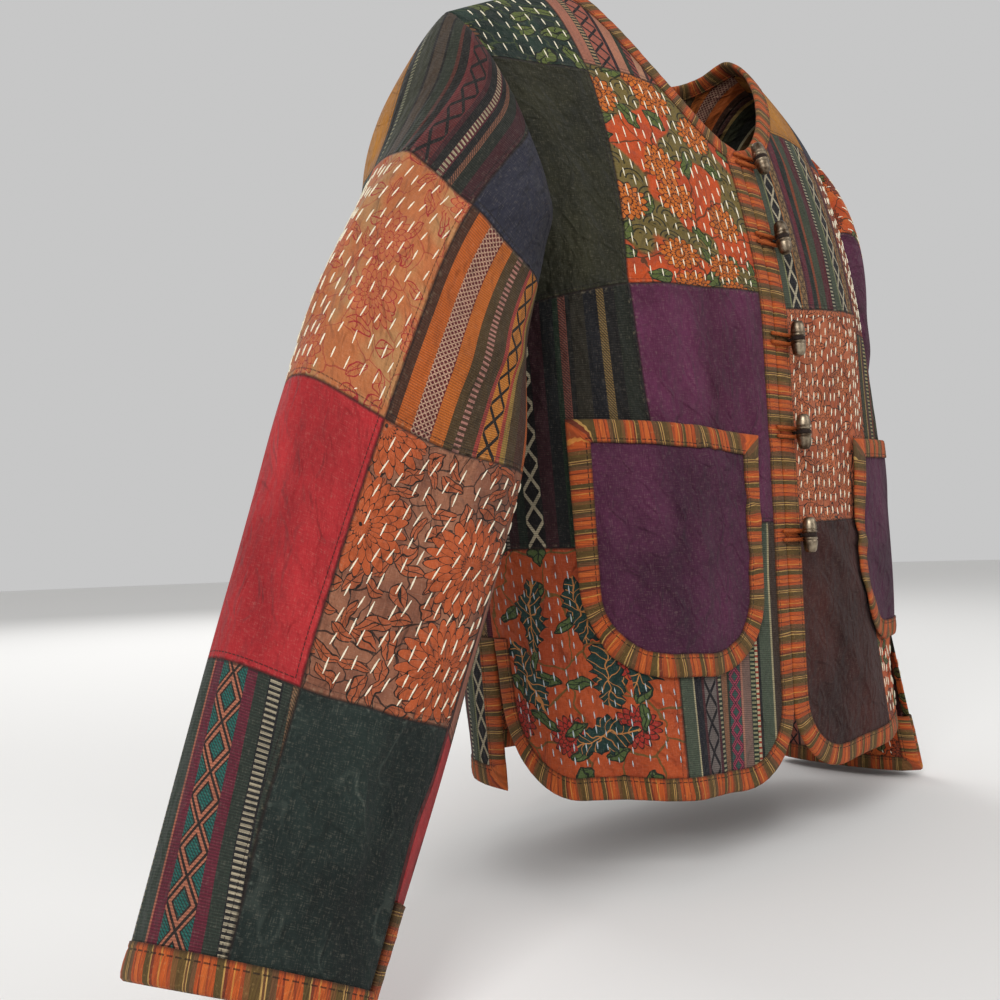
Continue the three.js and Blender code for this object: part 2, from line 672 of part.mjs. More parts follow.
// The armhole's edge, from the underarm up the front, over the shoulder and down the back
function armholeLoop(sideName) {
  const front = surfaces[`front_${sideName}`];
  const back = surfaces[`back_${sideName}`];
  const loop = [];
  const addPlace = (surface, across, rise) => {
    loop.push({ point: surface.place(across, rise), normal: surface.normal(across, rise) });
  };
  const addEdge = (surface, steps, upwards) => {
    const armholeAt = steps.indexOf(ARMHOLE_ACROSS);
    const slitAt = steps.indexOf(SLIT_EDGE);
    const edge = [];
    for (let i = slitAt; i > armholeAt; i -= 1) {
      edge.push(flatPlace(surface, steps, i, TURN_ROW));
    }
    for (let j = TURN_ROW; j < ROWS; j += 1) {
      edge.push(flatPlace(surface, steps, armholeAt, j));
    }
    const ends = [
      [PANEL_WIDTH, armholeRise(surface, PANEL_WIDTH)],
      ...edge,
      [ARMHOLE_ACROSS, bodyColumn(surface.side, surface.face, ARMHOLE_ACROSS).shoulderRise],
    ];
    const moved = edge.map((here, k) => {
      const before = ends[k];
      const after = ends[k + 2];
      const length = Math.hypot(after[0] - before[0], after[1] - before[1]);
      const away = [(after[1] - before[1]) / length, (before[0] - after[0]) / length];
      return [here[0] + away[0] * SEAM_GAP, here[1] + away[1] * SEAM_GAP];
    });
    (upwards ? moved : moved.reverse()).forEach(([across, rise]) => addPlace(surface, across, rise));
  };
  addPlace(front, PANEL_WIDTH, armholeRise(front, PANEL_WIDTH) + SEAM_GAP);
  addEdge(front, FRONT_STEPS, true);
  addPlace(front, ARMHOLE_ACROSS + SEAM_GAP, bodyColumn(front.side, front.face, ARMHOLE_ACROSS).shoulderRise);
  addEdge(back, BACK_STEPS, false);
  return loop;
}

// Places round an oval at given parts of its length, from its first axis towards its second
function ovalPoints(first, second, parts) {
  const steps = 96;
  const points = [];
  const lengths = [0];
  const power = (value) => Math.sign(value) * Math.abs(value) ** (2 / SLEEVE_SQUARE);
  for (let k = 0; k <= steps; k += 1) {
    const angle = (k / steps) * Math.PI * 2;
    points.push([first * power(Math.cos(angle)), second * power(Math.sin(angle))]);
    if (k > 0) {
      const [x0, y0] = points[k - 1];
      lengths.push(lengths[k - 1] + Math.hypot(points[k][0] - x0, points[k][1] - y0));
    }
  }
  return parts.map((part) => {
    const wanted = Math.min(Math.max(part, 0), 1) * lengths[steps];
    let k = 1;
    while (k < steps && lengths[k] < wanted) {
      k += 1;
    }
    const t = (wanted - lengths[k - 1]) / (lengths[k] - lengths[k - 1]);
    return [mix(points[k - 1][0], points[k][0], t), mix(points[k - 1][1], points[k][1], t)];
  });
}

// A sleeve's frame at a part of its length: centre, run, the axis to the line under the arm,
// and the half widths along that axis and across it
function sleeveFrame(stations, at) {
  const read = (column, where) => readTable(stations, 'at', column, where);
  const line = (name, where) => new THREE.Vector3(
    read(`${name}X`, where),
    read(`${name}Y`, where),
    read(`${name}Z`, where),
  );
  const under = (where) => line('under', where);
  const over = (where) => line('over', where);
  const centre = (where) => under(where).add(over(where)).multiplyScalar(0.5);
  const first = under(at).sub(over(at));
  const half = first.length() / 2;
  first.normalize();
  const nudge = 0.02;
  const axis = centre(Math.min(1, at + nudge)).sub(centre(Math.max(0, at - nudge))).normalize();
  return { centre: centre(at), axis, first, half, thin: read('half', at) };
}

// A sleeve's smooth surface by its part round (from the line under the arm, forwards) and its
// part along (from the armhole to the cuff)
function sleeveSurface(sideName) {
  const { stations, folds } = SLEEVES[sideName];
  const side = sideName === 'right' ? -1 : 1;
  const length = middleLength(stations);
  const cuff = sleeveFrame(stations, 1);
  const girth = ovalGirth(cuff.half, cuff.thin);
  const place = (part, at) => {
    const frame = sleeveFrame(stations, at);
    const round = part - Math.floor(part);
    const [[p, q]] = ovalPoints(frame.half, frame.thin, [round]);
    const scale = 1 + sleeveFold(folds, round, at, length, girth) / Math.hypot(p, q);
    return frame.centre.clone()
      .addScaledVector(frame.first, p * scale)
      .addScaledVector(acrossAxis(frame, side, at), q * scale);
  };
  const normal = (part, at) => {
    const step = 0.004;
    const round = place(part + step, at).sub(place(part - step, at));
    const along = place(part, Math.min(1.05, at + step)).sub(place(part, Math.max(0, at - step)));
    return round.cross(along).multiplyScalar(-side).normalize();
  };
  return { side, length, girth, place, normal };
}

function buildSleeve(sideName, name, bindingName) {
  const { side, length, girth, place, normal } = sleeveSurface(sideName);
  const loop = armholeLoop(sideName);
  const count = loop.length;
  const loopLengths = [0];
  for (let k = 1; k <= count; k += 1) {
    loopLengths.push(loopLengths[k - 1] + loop[k % count].point.distanceTo(loop[k - 1].point));
  }
  const loopParts = loopLengths.map((reached) => reached / loopLengths[count]);
  const slitPart = (SEAM_GAP / 2 + BINDING_WIDTH + CUFF_GAP) / girth;
  // Towards the cuff the lines beside the seam draw in to the edges of the cuff's slit
  const partAt = (k, at) => {
    if (k % count === 0) {
      return k / count;
    }
    const share = (loopParts[k] - loopParts[1]) / (loopParts[count - 1] - loopParts[1]);
    const even = mix(slitPart, 1 - slitPart, share);
    return mix(loopParts[k], even, smooth(at / EVEN_REACH));
  };
  const slitAt = 1 - CUFF_SLIT / length;
  const endAt = 1 - (BINDING_WIDTH + CUFF_GAP) / length;
  const elbowGap = SEAM_GAP / length;
  const rings = [
    ...SLEEVE_RINGS.filter((at) => at < ELBOW_SEAM),
    ELBOW_SEAM - elbowGap,
    ELBOW_SEAM + elbowGap,
    ...SLEEVE_RINGS.filter((at) => at > ELBOW_SEAM),
    slitAt,
    (slitAt + endAt) / 2,
    endAt,
  ];
  const elbowRow = SLEEVE_RINGS.filter((at) => at < ELBOW_SEAM).length;
  const slitRow = rings.indexOf(slitAt);
  const gridPoints = rings.map((at) => loop.map((entry, k) => {
    const blend = 1 - Math.max(0, 1 - at / HEAD_BLEND) ** HEAD_CURVE;
    const target = place(partAt(k, at), at);
    return blend >= 1 ? target : entry.point.clone().lerp(target, blend);
  }));
  UNDERARM_TURN.forEach(({ ring, up, out }) => {
    loop.forEach((entry, k) => {
      const near = smooth(1 - Math.min(k, count - k) / UNDERARM_LINES);
      gridPoints[ring][k].z += up * near;
      gridPoints[ring][k].x += side * out * near;
    });
  });
  const gridNormal = (k, j) => {
    if (j === 0) {
      return loop[k].normal;
    }
    if (rings[j] > HEAD_BLEND) {
      const at = Math.abs(rings[j] - ELBOW_SEAM) < 0.01 ? ELBOW_SEAM : rings[j];
      return normal(partAt(k, at), at);
    }
    const round = gridPoints[j][(k + 1) % count].clone().sub(gridPoints[j][(k + count - 1) % count]);
    const along = gridPoints[j + 1][k].clone().sub(gridPoints[j - 1][k]);
    const way = round.cross(along).multiplyScalar(-side).normalize();
    return j === 1 ? way.add(loop[k].normal).normalize() : way;
  };
  const addWall = (wallName, first, last) => addPiece(wallName, wallSolid({
    columns: count,
    rows: last - first,
    around: true,
    hasCell: (k, j) => !(j + first >= slitRow && (k === 0 || k === count - 1)),
    place: (k, j) => gridPoints[j + first][k],
    normal: (k, j) => gridNormal(k, j + first),
    wall: WALL,
  }), 'sleeve');
  addWall(`${name}_upper`, 0, elbowRow);
  addWall(`${name}_lower`, elbowRow + 1, rings.length - 1);

  // The cuff's flat pattern: along its girth, and up from its end
  const slitTop = -(slitAt * length + CUFF_GAP);
  const flat = (k, at) => [partAt(k, at) * girth, -at * length];
  const edge = [[partAt(1, slitAt) * girth, slitTop], flat(1, rings[slitRow + 1])];
  for (let k = 1; k < count; k += 1) {
    edge.push(flat(k, endAt));
  }
  edge.push(flat(count - 1, rings[slitRow + 1]), [partAt(count - 1, slitAt) * girth, slitTop]);
  const flatPlaceOf = (u, r) => place(u / girth, -r / length);
  const flatNormalOf = (u, r) => normal(u / girth, -r / length);
  const sections = bindingSections(edge, 1, flatPlaceOf, flatNormalOf, {
    firstWay: [-1, 0],
    lastWay: [1, 0],
    gap: CUFF_GAP,
  });
  addPiece(bindingName, stripSolid(sections, false), 'binding');
}

function ovalGirth(first, second) {
  const points = ovalPoints(first, second, [...Array(97).keys()].map((k) => k / 96));
  let girth = 0;
  for (let k = 1; k < points.length; k += 1) {
    girth += Math.hypot(points[k][0] - points[k - 1][0], points[k][1] - points[k - 1][1]);
  }
  return girth;
}

// Length of the line down the middle of a sleeve
function middleLength(stations) {
  let length = 0;
  const steps = 60;
  for (let k = 1; k <= steps; k += 1) {
    const here = sleeveFrame(stations, k / steps).centre;
    length += here.distanceTo(sleeveFrame(stations, (k - 1) / steps).centre);
  }
  return length;
}

// The axis across a sleeve, towards the wearer's front at the armhole and at right angles to
// the sleeve's run further down
function acrossAxis(frame, side, at) {
  const forward = new THREE.Vector3(0, -1, 0);
  forward.addScaledVector(frame.first, -forward.dot(frame.first)).normalize();
  const square = frame.first.clone().cross(frame.axis).multiplyScalar(side).normalize();
  return forward.lerp(square, smooth(at / HEAD_REACH)).normalize();
}

function sleeveFold(folds, part, at, length, girth) {
  let total = 0;
  for (const fold of folds) {
    const du = (fold.toAround - fold.fromAround) * girth;
    const dv = (fold.toAlong - fold.fromAlong) * length;
    const span = Math.hypot(du, dv);
    const u = (part - fold.fromAround) * girth;
    const v = (at - fold.fromAlong) * length;
    const along = (u * du + v * dv) / span ** 2;
    const aside = (u * dv - v * du) / span;
    const ends = smooth((along + 0.2) / 0.4) * smooth((1.2 - along) / 0.4);
    total += fold.height * ends * Math.exp(-((aside / fold.width) ** 2));
  }
  return total;
}

// Patch pocket on a front, with binding all round
function buildPocket(sideName, name, bindingName) {
  const surface = surfaces[`front_${sideName}`];
  const left = POCKET_INNER[sideName] + INSET;
  const right = POCKET_INNER[sideName] + POCKET.width - INSET;
  const low = POCKET.bottom + INSET;
  const high = POCKET.top - INSET;
  const radius = POCKET.corner - INSET;
  const corners = [0, 30, 60, 90].map((degrees) => radius * (1 - Math.cos(degrees * Math.PI / 180)));
  const inner = FRONT_STEPS.filter((step) => step > left + 3 && step < right - 3);
  const ends = [...corners.map((c) => left + c), ...corners.map((c) => right - c)];
  const steps = unique([...ends, ...inner.filter((step) => ends.every((end) => Math.abs(end - step) > 3))]);
  const turn = armholeRise(surface, 0);
  const panelRows = [...Array(BODY_ROWS + 1).keys()].map((j) => mix(SLIT_RISE, turn, j / BODY_ROWS));
  const firstRow = low + radius;
  const upper = panelRows.filter((rise) => rise > firstRow + 6 && rise < high - 6);
  const rises = [firstRow, ...upper, high];
  const lowerRows = 4;
  const floor = (across) => {
    const reach = radius - Math.min(radius, Math.min(across - left, right - across));
    return low + radius - Math.sqrt(Math.max(0, radius ** 2 - reach ** 2));
  };
  const flat = (i, j) => {
    const across = steps[i];
    if (j >= lowerRows) {
      return [across, rises[j - lowerRows]];
    }
    return [across, mix(floor(across), firstRow, j / lowerRows)];
  };
  const rows = lowerRows + rises.length - 1;
  const last = steps.length - 1;
  const lift = WALL / 2 + POCKET.lift + POCKET.wall / 2;
  addPiece(name, wallSolid({
    columns: last,
    rows,
    hasCell: () => true,
    place: (i, j) => surface.place(...flat(i, j)),
    normal: (i, j) => surface.normal(...flat(i, j)),
    wall: POCKET.wall,
    lift,
  }), 'pocket');
  const edge = [];
  for (let i = 0; i < last; i += 1) {
    edge.push(flat(i, 0));
  }
  for (let j = lowerRows; j < rows; j += 1) {
    edge.push(flat(last, j));
  }
  for (let i = last; i > 0; i -= 1) {
    edge.push(flat(i, rows));
  }
  for (let j = rows; j > lowerRows; j -= 1) {
    edge.push(flat(0, j));
  }
  const sections = bindingSections(edge, 1, surface.place, surface.normal, {
    closed: true,
    lift: WALL / 2 + POCKET.lift + POCKET.bindingWall / 2,
    wall: POCKET.bindingWall,
  });
  addPiece(bindingName, stripSolid(sections, true), 'binding');
}

// A ribbed metal barrel that lies over the cloth loop from the other front
function buildToggle(index, height) {
  const front = surfaces.front_left;
  const rise = bodyColumn(1, -1, TOGGLE_ACROSS).riseAt(height);
  const base = front.place(TOGGLE_ACROSS, rise);
  const out = front.normal(TOGGLE_ACROSS, rise);
  const up = front.place(TOGGLE_ACROSS, rise + 10).sub(front.place(TOGGLE_ACROSS, rise - 10)).normalize();
  const sideways = up.clone().cross(out).normalize();
  const clothTop = BINDING_WALL / 2 + 0.5;
  const loopLift = clothTop + LOOP_RADIUS;
  const barrelLift = clothTop + LOOP_RADIUS * 2 + SEAM_GAP + TOGGLE_RADIUS;
  const groove = TOGGLE_RADIUS - 1;
  const end = TOGGLE_LENGTH / 2;
  const profile = [
    [0, -end], [3.6, -end], [4.8, -end + 1.4], [TOGGLE_RADIUS, -4.2], [TOGGLE_RADIUS, -1.8],
    [groove, -1.2], [groove, 1.2], [TOGGLE_RADIUS, 1.8], [TOGGLE_RADIUS, 4.2], [4.8, end - 1.4],
    [3.6, end], [0, end],
  ].map(([radius, along]) => new THREE.Vector2(radius, along));
  const barrel = new THREE.LatheGeometry(profile, TOGGLE_SIDES);
  const barrelPiece = addPiece(`toggle_${index}`, barrel, 'metal');
  barrelPiece.position.copy(base).addScaledVector(out, barrelLift);
  const axes = new THREE.Matrix4().makeBasis(out.clone().negate(), up, sideways.clone());
  if (axes.determinant() < 0) {
    axes.makeBasis(out.clone().negate(), up, sideways.clone().negate());
  }
  barrelPiece.quaternion.setFromRotationMatrix(axes);

  const bend = THREAD_ROOM + LOOP_RADIUS;
  const path = new THREE.CurvePath();
  const at = (across, upwards) => base.clone()
    .addScaledVector(new THREE.Vector3(1, 0, 0), across)
    .addScaledVector(up, upwards)
    .addScaledVector(out, loopLift);
  const loopPoints = [];
  const start = -TOGGLE_ACROSS - LOOP_REACH;
  loopPoints.push(at(start, bend), at(start / 2, bend), at(-3, bend));
  for (let k = 0; k <= 6; k += 1) {
    const angle = Math.PI / 2 - (k / 6) * Math.PI;
    loopPoints.push(at(Math.cos(angle) * bend, Math.sin(angle) * bend));
  }
  loopPoints.push(at(-3, -bend), at(start / 2, -bend), at(start, -bend));
  const curve = new THREE.CatmullRomCurve3(loopPoints);
  const section = new THREE.Shape();
  for (let k = 0; k <= 6; k += 1) {
    const angle = (k / 6) * Math.PI * 2;
    const x = Math.cos(angle) * LOOP_RADIUS;
    const y = Math.sin(angle) * LOOP_RADIUS;
    if (k === 0) {
      section.moveTo(x, y);
    } else if (k < 6) {
      section.lineTo(x, y);
    }
  }
  addPiece(`loop_${index}`, new THREE.ExtrudeGeometry(section, { steps: 16, extrudePath: curve }), 'binding');
}

buildFront('front_right', 'binding_front_right');
buildFront('front_left', 'binding_front_left');
buildBackHalf('back_right');
buildBackHalf('back_left');
buildBackBindings();
buildSleeve('right', 'sleeve_right', 'binding_cuff_right');
buildSleeve('left', 'sleeve_left', 'binding_cuff_left');
buildPocket('right', 'pocket_right', 'binding_pocket_right');
buildPocket('left', 'pocket_left', 'binding_pocket_left');
TOGGLE_HEIGHTS.forEach((height, k) => buildToggle(k + 1, height));

export default jacket;
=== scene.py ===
"""A kantha patchwork jacket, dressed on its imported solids. Cloth places are in millimetres."""
import bpy
import math
import numpy as np
from mathutils import Matrix, Vector


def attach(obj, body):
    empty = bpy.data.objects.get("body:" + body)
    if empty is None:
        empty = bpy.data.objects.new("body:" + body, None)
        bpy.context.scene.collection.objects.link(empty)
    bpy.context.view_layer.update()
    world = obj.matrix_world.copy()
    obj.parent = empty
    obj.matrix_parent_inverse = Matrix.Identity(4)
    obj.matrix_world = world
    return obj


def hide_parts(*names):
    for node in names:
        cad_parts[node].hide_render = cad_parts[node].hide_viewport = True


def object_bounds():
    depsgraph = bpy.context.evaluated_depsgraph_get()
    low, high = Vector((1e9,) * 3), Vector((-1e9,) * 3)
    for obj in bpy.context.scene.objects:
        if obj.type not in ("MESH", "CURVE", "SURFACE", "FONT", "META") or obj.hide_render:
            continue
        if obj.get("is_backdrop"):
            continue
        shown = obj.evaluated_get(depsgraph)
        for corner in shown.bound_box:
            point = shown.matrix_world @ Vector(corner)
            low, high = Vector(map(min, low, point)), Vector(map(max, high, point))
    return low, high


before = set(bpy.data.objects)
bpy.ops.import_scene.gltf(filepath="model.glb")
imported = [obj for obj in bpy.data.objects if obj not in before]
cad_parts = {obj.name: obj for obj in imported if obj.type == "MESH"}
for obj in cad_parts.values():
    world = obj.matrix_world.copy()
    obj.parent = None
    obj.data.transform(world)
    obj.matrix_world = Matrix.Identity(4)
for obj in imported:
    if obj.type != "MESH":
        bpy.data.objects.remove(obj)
low_corner, high_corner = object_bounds()

# Cut of the body, as in the solids
WALL = 2.4
SEAM_GAP = 0.3
BINDING_WIDTH = 15.0
BINDING_WALL = 4.4
INSET = SEAM_GAP / 2 + BINDING_WIDTH + SEAM_GAP
PANEL_WIDTH = 280.0
HEM_Z = -634.0
FRONT_DIP = 14.0
LOWEST_Z = -700.0
HEM_CORNER = 52.0
SLIT_RISE = 112.0
SLIT_LEAN = 4.0
ARMHOLE_ACROSS = 212.0
ARMHOLE_TURN_Z = -200.0
UNDERARM_Z = -285.0
NECK_X = 100.0
NECK_LIFT = 14.0
TIP_X = 226.0
TIP_Z = -60.0
SHOULDER_CURVE = 1.12
FRONT_NECK_Z = -150.0
BACK_NECK_Z = -38.0
NECK_CURVE = 1.45
BACK_NECK_CURVE = 2.4
CHEST_Z = -285.0
BLADE_Z = -205.0
CHEST_ROUND = 1.52
BLADE_ROUND = 1.85
SHOULDER_BLEND_Z = -220.0
SEAM_FADE = 26.0
CENTRE_FADE = 14.0
NECK_EDGE = NECK_X + INSET
SLIT_EDGE = PANEL_WIDTH - INSET
SIDE_EDGE = PANEL_WIDTH - SEAM_GAP / 2

# Horizontal sections: height, half widths right and left, depths in front and behind,
# squareness, and how far the right side seam is drawn forwards
SECTION_COLUMNS = ("z", "right", "left", "front", "back", "square", "seam_shift")
BODY_SECTIONS = (
    (-700, 196, 254, 121, 121, 2.5, -18),
    (-560, 205, 250, 120, 115, 2.55, -12),
    (-420, 215, 240, 119, 108, 2.65, -5),
    (-285, 223, 226, 117, 106, 2.75, 0),
    (-200, 222, 220, 115, 102, 3.1, 0),
    (20, 222, 222, 112, 98, 3.3, 0),
)

# Large folds of the solids: from across, from rise, to across, to rise, heights at both, width
BODY_FOLDS = {
    "front_right": (
        (150, 300, 122, -20, 0, 9, 26),
        (215, 330, 178, -20, -2, -7, 30),
        (205, 560, 150, 360, -4, 0, 22),
        (60, 330, 70, -20, 0, -4, 30),
        (190, 470, 245, 330, 4, 5, 18),
    ),
    "front_left": (
        (30, 215, 150, -20, 2, 6, 26),
        (80, 250, 215, 10, -3, -6, 26),
        (210, 560, 150, 380, -5, 0, 22),
        (190, 330, 205, -20, 5, 9, 36),
    ),
    "back_right": (
        (95, 480, 120, -20, 0, 8, 28),
        (175, 420, 190, -20, 0, -8, 32),
        (30, 400, 55, -20, 0, -5, 28),
        (200, 560, 235, 330, 5, 3, 20),
    ),
    "back_left": (
        (70, 460, 95, -20, 0, 9, 28),
        (150, 430, 170, -20, 0, -7, 30),
        (210, 300, 215, -20, 0, 4, 22),
        (200, 560, 232, 330, 5, 3, 20),
    ),
}

# Creases that only show close up, with the same columns as the folds
CREASES = {
    "front_right": (
        (196, 545, 172, 385, 3.4, 1.4, 8),
        (168, 550, 160, 430, -2.2, -1, 9),
        (222, 470, 246, 372, 3, 1.8, 7),
        (118, 374, 124, 262, 3.6, 2.2, 11),
        (78, 372, 72, 268, -3.4, -1.6, 13),
        (38, 380, 28, 200, 2.8, 1.6, 10),
        (100, 352, 42, 262, 2.6, 1.8, 4.5),
        (64, 330, 22, 262, 1.8, 1.2, 4),
        (96, 266, 104, 110, 3.2, 2.2, 12),
        (104, 262, 52, 170, 2.4, 1.2, 4.5),
        (84, 250, 44, 205, 2, 1, 4),
        (128, 225, 70, 120, 2, 1.2, 5),
        (160, 262, 150, 120, -2.4, -1.4, 12),
        (96, 545, 60, 440, 1.8, 0.8, 6),
        (236, 340, 214, 210, 2.6, 1.6, 7),
        (188, 140, 176, 22, -2.2, -2.8, 8),
        (150, 150, 148, 18, 1.8, 3, 7),
        (100, 120, 92, 18, 2, 2.8, 6),
        (232, 120, 214, 20, 2.2, 2.8, 9),
    ),
    "front_left": (
        (30, 200, 120, 120, 3.4, 2.2, 8),
        (24, 168, 96, 60, 2.8, 2.4, 7),
        (60, 205, 150, 160, 2.4, 1.6, 6),
        (20, 120, 70, 30, 2.2, 1.8, 6),
        (140, 140, 186, 30, 2.4, 2.2, 8),
        (110, 380, 118, 230, 2.4, 1.4, 8),
        (50, 372, 64, 250, -2, -1.2, 10),
        (60, 540, 92, 430, 2, 1, 7),
        (170, 360, 190, 230, 2.6, 1.6, 8),
        (196, 560, 176, 440, 3, 1.2, 8),
    ),
    "back_right": (
        (60, 520, 84, 400, 2.6, 1, 8),
        (130, 540, 150, 410, 2.8, 1.2, 8),
        (216, 470, 244, 380, 3.2, 1.6, 8),
        (110, 250, 92, 110, 2.4, 1.8, 8),
        (180, 210, 206, 60, 2.8, 2, 9),
        (40, 190, 52, 40, 2.2, 2, 8),
        (150, 150, 158, 20, -2.2, -2.4, 9),
        (30, 350, 90, 290, 2, 1, 5),
        (190, 340, 130, 270, 2.2, 1.2, 5),
    ),
    "back_left": (
        (50, 530, 70, 420, 2.4, 1, 8),
        (150, 540, 162, 400, 2.8, 1, 8),
        (220, 470, 240, 370, 3.2, 1.6, 8),
        (120, 270, 104, 120, 2.6, 1.8, 8),
        (196, 230, 182, 80, 2.8, 2.2, 9),
        (30, 180, 22, 30, 2.2, 2, 8),
        (228, 160, 236, 40, 2.4, 2.2, 9),
        (40, 360, 110, 300, 2, 1, 5),
        (180, 350, 120, 280, 2.2, 1.2, 5),
    ),
}

# Sleeves: part along, the lines under and over the arm, and the half width across them
STATION_COLUMNS = ("at", "under_x", "under_y", "under_z", "over_x", "over_y", "over_z", "half")
SLEEVES = {
    "right": {
        "stations": (
            (0, -226, 0, -281, -229, 0, -61, 62),
            (0.05, -235, -14, -284, -244, -6, -82, 72),
            (0.16, -240, -56, -318, -284, -22, -160, 77),
            (0.36, -267, -104, -410, -360, -30, -294, 72),
            (0.66, -347, -145, -541, -442, -69, -474, 49),
            (1, -426, -166, -678, -518, -110, -648, 40),
        ),
        "folds": (
            (0.2, 0.1, 0.42, 0.5, 5, 16),
            (0.08, 0.2, 0.2, 0.55, -4, 15),
            (0.12, 0.62, 0.3, 0.9, 4, 14),
            (0.62, 0.15, 0.8, 0.55, 6, 18),
            (0.85, 0.45, 0.7, 0.85, -5, 16),
        ),
        "creases": (
            (0.16, 0.1, 0.26, 0.24, 3.4, 7),
            (0.34, 0.12, 0.3, 0.3, -2.6, 8),
            (0.12, 0.28, 0.24, 0.42, 3, 7),
            (0.4, 0.2, 0.47, 0.42, 2.6, 8),
            (0.1, 0.52, 0.22, 0.66, 2.8, 7),
            (0.36, 0.56, 0.3, 0.72, 2.2, 8),
            (0.45, 0.54, 0.38, 0.7, -1.8, 7),
            (0.21, 0.73, 0.16, 0.88, 3, 7),
            (0.13, 0.76, 0.12, 0.94, -3, 10),
            (0.24, 0.8, 0.2, 0.92, 1.8, 4),
            (0.06, 0.78, 0.1, 0.92, -2, 7),
            (0.6, 0.3, 0.72, 0.5, 3, 9),
            (0.86, 0.25, 0.78, 0.5, 3, 9),
            (0.66, 0.6, 0.76, 0.85, 2.4, 8),
        ),
    },
    "left": {
        "stations": (
            (0, 228, 0, -281, 229, 0, -61, 62),
            (0.05, 237, 0, -283, 247, 9, -88, 66),
            (0.16, 246, -12, -316, 279, 28, -184, 45),
            (0.36, 264, -34, -415, 284, 64, -335, 24),
            (0.66, 280, -46, -545, 284, 84, -515, 19),
            (1, 298, -64, -692, 282, 88, -692, 20),
        ),
        "folds": (
            (0.15, 0.12, 0.4, 0.42, 6, 16),
            (0.3, 0.3, 0.22, 0.8, -5, 16),
            (0.36, 0.55, 0.3, 0.95, 4, 14),
            (0.62, 0.12, 0.58, 0.5, 6, 18),
        ),
        "creases": (
            (0.14, 0.18, 0.3, 0.34, 3, 7),
            (0.4, 0.2, 0.34, 0.4, -2, 8),
            (0.24, 0.44, 0.32, 0.64, 2.4, 7),
            (0.16, 0.62, 0.24, 0.86, 2, 7),
            (0.62, 0.3, 0.7, 0.5, 3, 8),
            (0.84, 0.3, 0.74, 0.55, 2.6, 8),
            (0.66, 0.62, 0.76, 0.88, 2.4, 8),
        ),
    },
}
SLEEVE_SQUARE = 2.15
CUFF_SLIT = 66.0
CUFF_GAP = 0.7
HEAD_BLEND = 0.1
HEAD_CURVE = 1.6
HEAD_REACH = 0.3
EVEN_REACH = 0.8
UNDERARM_TURN = ((0, 0, 0), (0.02, 3.2, 2.5), (0.045, 1.5, 3.5), (0.075, 0, 0), (1, 0, 0))
UNDERARM_PART = 0.1

POCKET = {"width": 164.0, "bottom": 86.0, "top": 266.0, "corner": 62.0,
          "wall": 2.0, "binding_wall": 3.4, "lift": 1.7}
POCKET_INNER = {"right": 36.0, "left": 104.0}

TOGGLE_HEIGHTS = (-150.0, -219.0, -300.0, -374.0, -455.0)
TOGGLE_ACROSS = 15.0
TOGGLE_RADIUS = 5.6
LOOP_RADIUS = 1.5
LOOP_REACH = 9.0
THREAD_ROOM = 1.9

# Largest cells of the cloth: on the body, along a sleeve, round it as a part of its girth, and at edges
CELL = 3.8
SLEEVE_CELL = 3.9
SLEEVE_CELL_PART = 0.0095
EDGE_CELL = 1.2
# A rise above every shoulder
TOP_RISE = 700
# Added to the distance from a patch's side that has no seam, so that none is drawn there
OPEN = 100.0


def mix(a, b, t):
    return a + (b - a) * t


def smooth(t):
    c = np.clip(t, 0.0, 1.0)
    return c * c * (3 - 2 * c)


def unit(vectors):
    return vectors / np.maximum(np.linalg.norm(vectors, axis=-1, keepdims=True), 1e-9)


def read_table(rows, names, column, value):
    """A smooth curve through one column of a table, read at values of its first column."""
    table = np.array(rows, float)
    keys = table[:, 0]
    values = table[:, names.index(column)]
    before = np.maximum(np.arange(len(keys)) - 1, 0)
    after = np.minimum(np.arange(len(keys)) + 1, len(keys) - 1)
    slopes = (values[after] - values[before]) / (keys[after] - keys[before])
    value = np.asarray(value, float)
    k = np.searchsorted(keys[1:-1], value, side="left")
    span = keys[k + 1] - keys[k]
    t = np.clip((value - keys[k]) / span, 0, 1)
    t2 = t * t
    t3 = t2 * t
    return ((2 * t3 - 3 * t2 + 1) * values[k] + (t3 - 2 * t2 + t) * span * slopes[k]
            + (3 * t2 - 2 * t3) * values[k + 1] + (t3 - t2) * span * slopes[k + 1])


def along_line(points, part):
    """Points at a part of the length of lines, for points [..., steps, axes] and part [...]."""
    steps = np.linalg.norm(np.diff(points, axis=-2), axis=-1)
    start = np.zeros(steps.shape[:-1] + (1,))
    lengths = np.concatenate([start, np.cumsum(steps, axis=-1)], axis=-1)
    wanted = (part * lengths[..., -1])[..., None]
    k = np.clip((lengths < wanted).sum(-1, keepdims=True), 1, points.shape[-2] - 1)
    before = np.take_along_axis(lengths, k - 1, -1)
    after = np.take_along_axis(lengths, k, -1)
    t = (wanted - before) / np.maximum(after - before, 1e-9)
    low = np.take_along_axis(points, (k - 1)[..., None], -2)[..., 0, :]
    high = np.take_along_axis(points, k[..., None], -2)[..., 0, :]
    return low + (high - low) * t


def ridges(folds, across, rise):
    total = np.zeros(np.broadcast(across, rise).shape)
    for x0, y0, x1, y1, start, end, width in folds:
        du = x1 - x0
        dr = y1 - y0
        length = math.hypot(du, dr)
        along = ((across - x0) * du + (rise - y0) * dr) / length ** 2
        aside = ((across - x0) * dr - (rise - y0) * du) / length
        ends = smooth((along + 0.15) / 0.4) * smooth((1.25 - along) / 0.25)
        height = mix(start, end, np.clip(along, 0, 1))
        total = total + height * ends * np.exp(-((aside / width) ** 2))
    return total


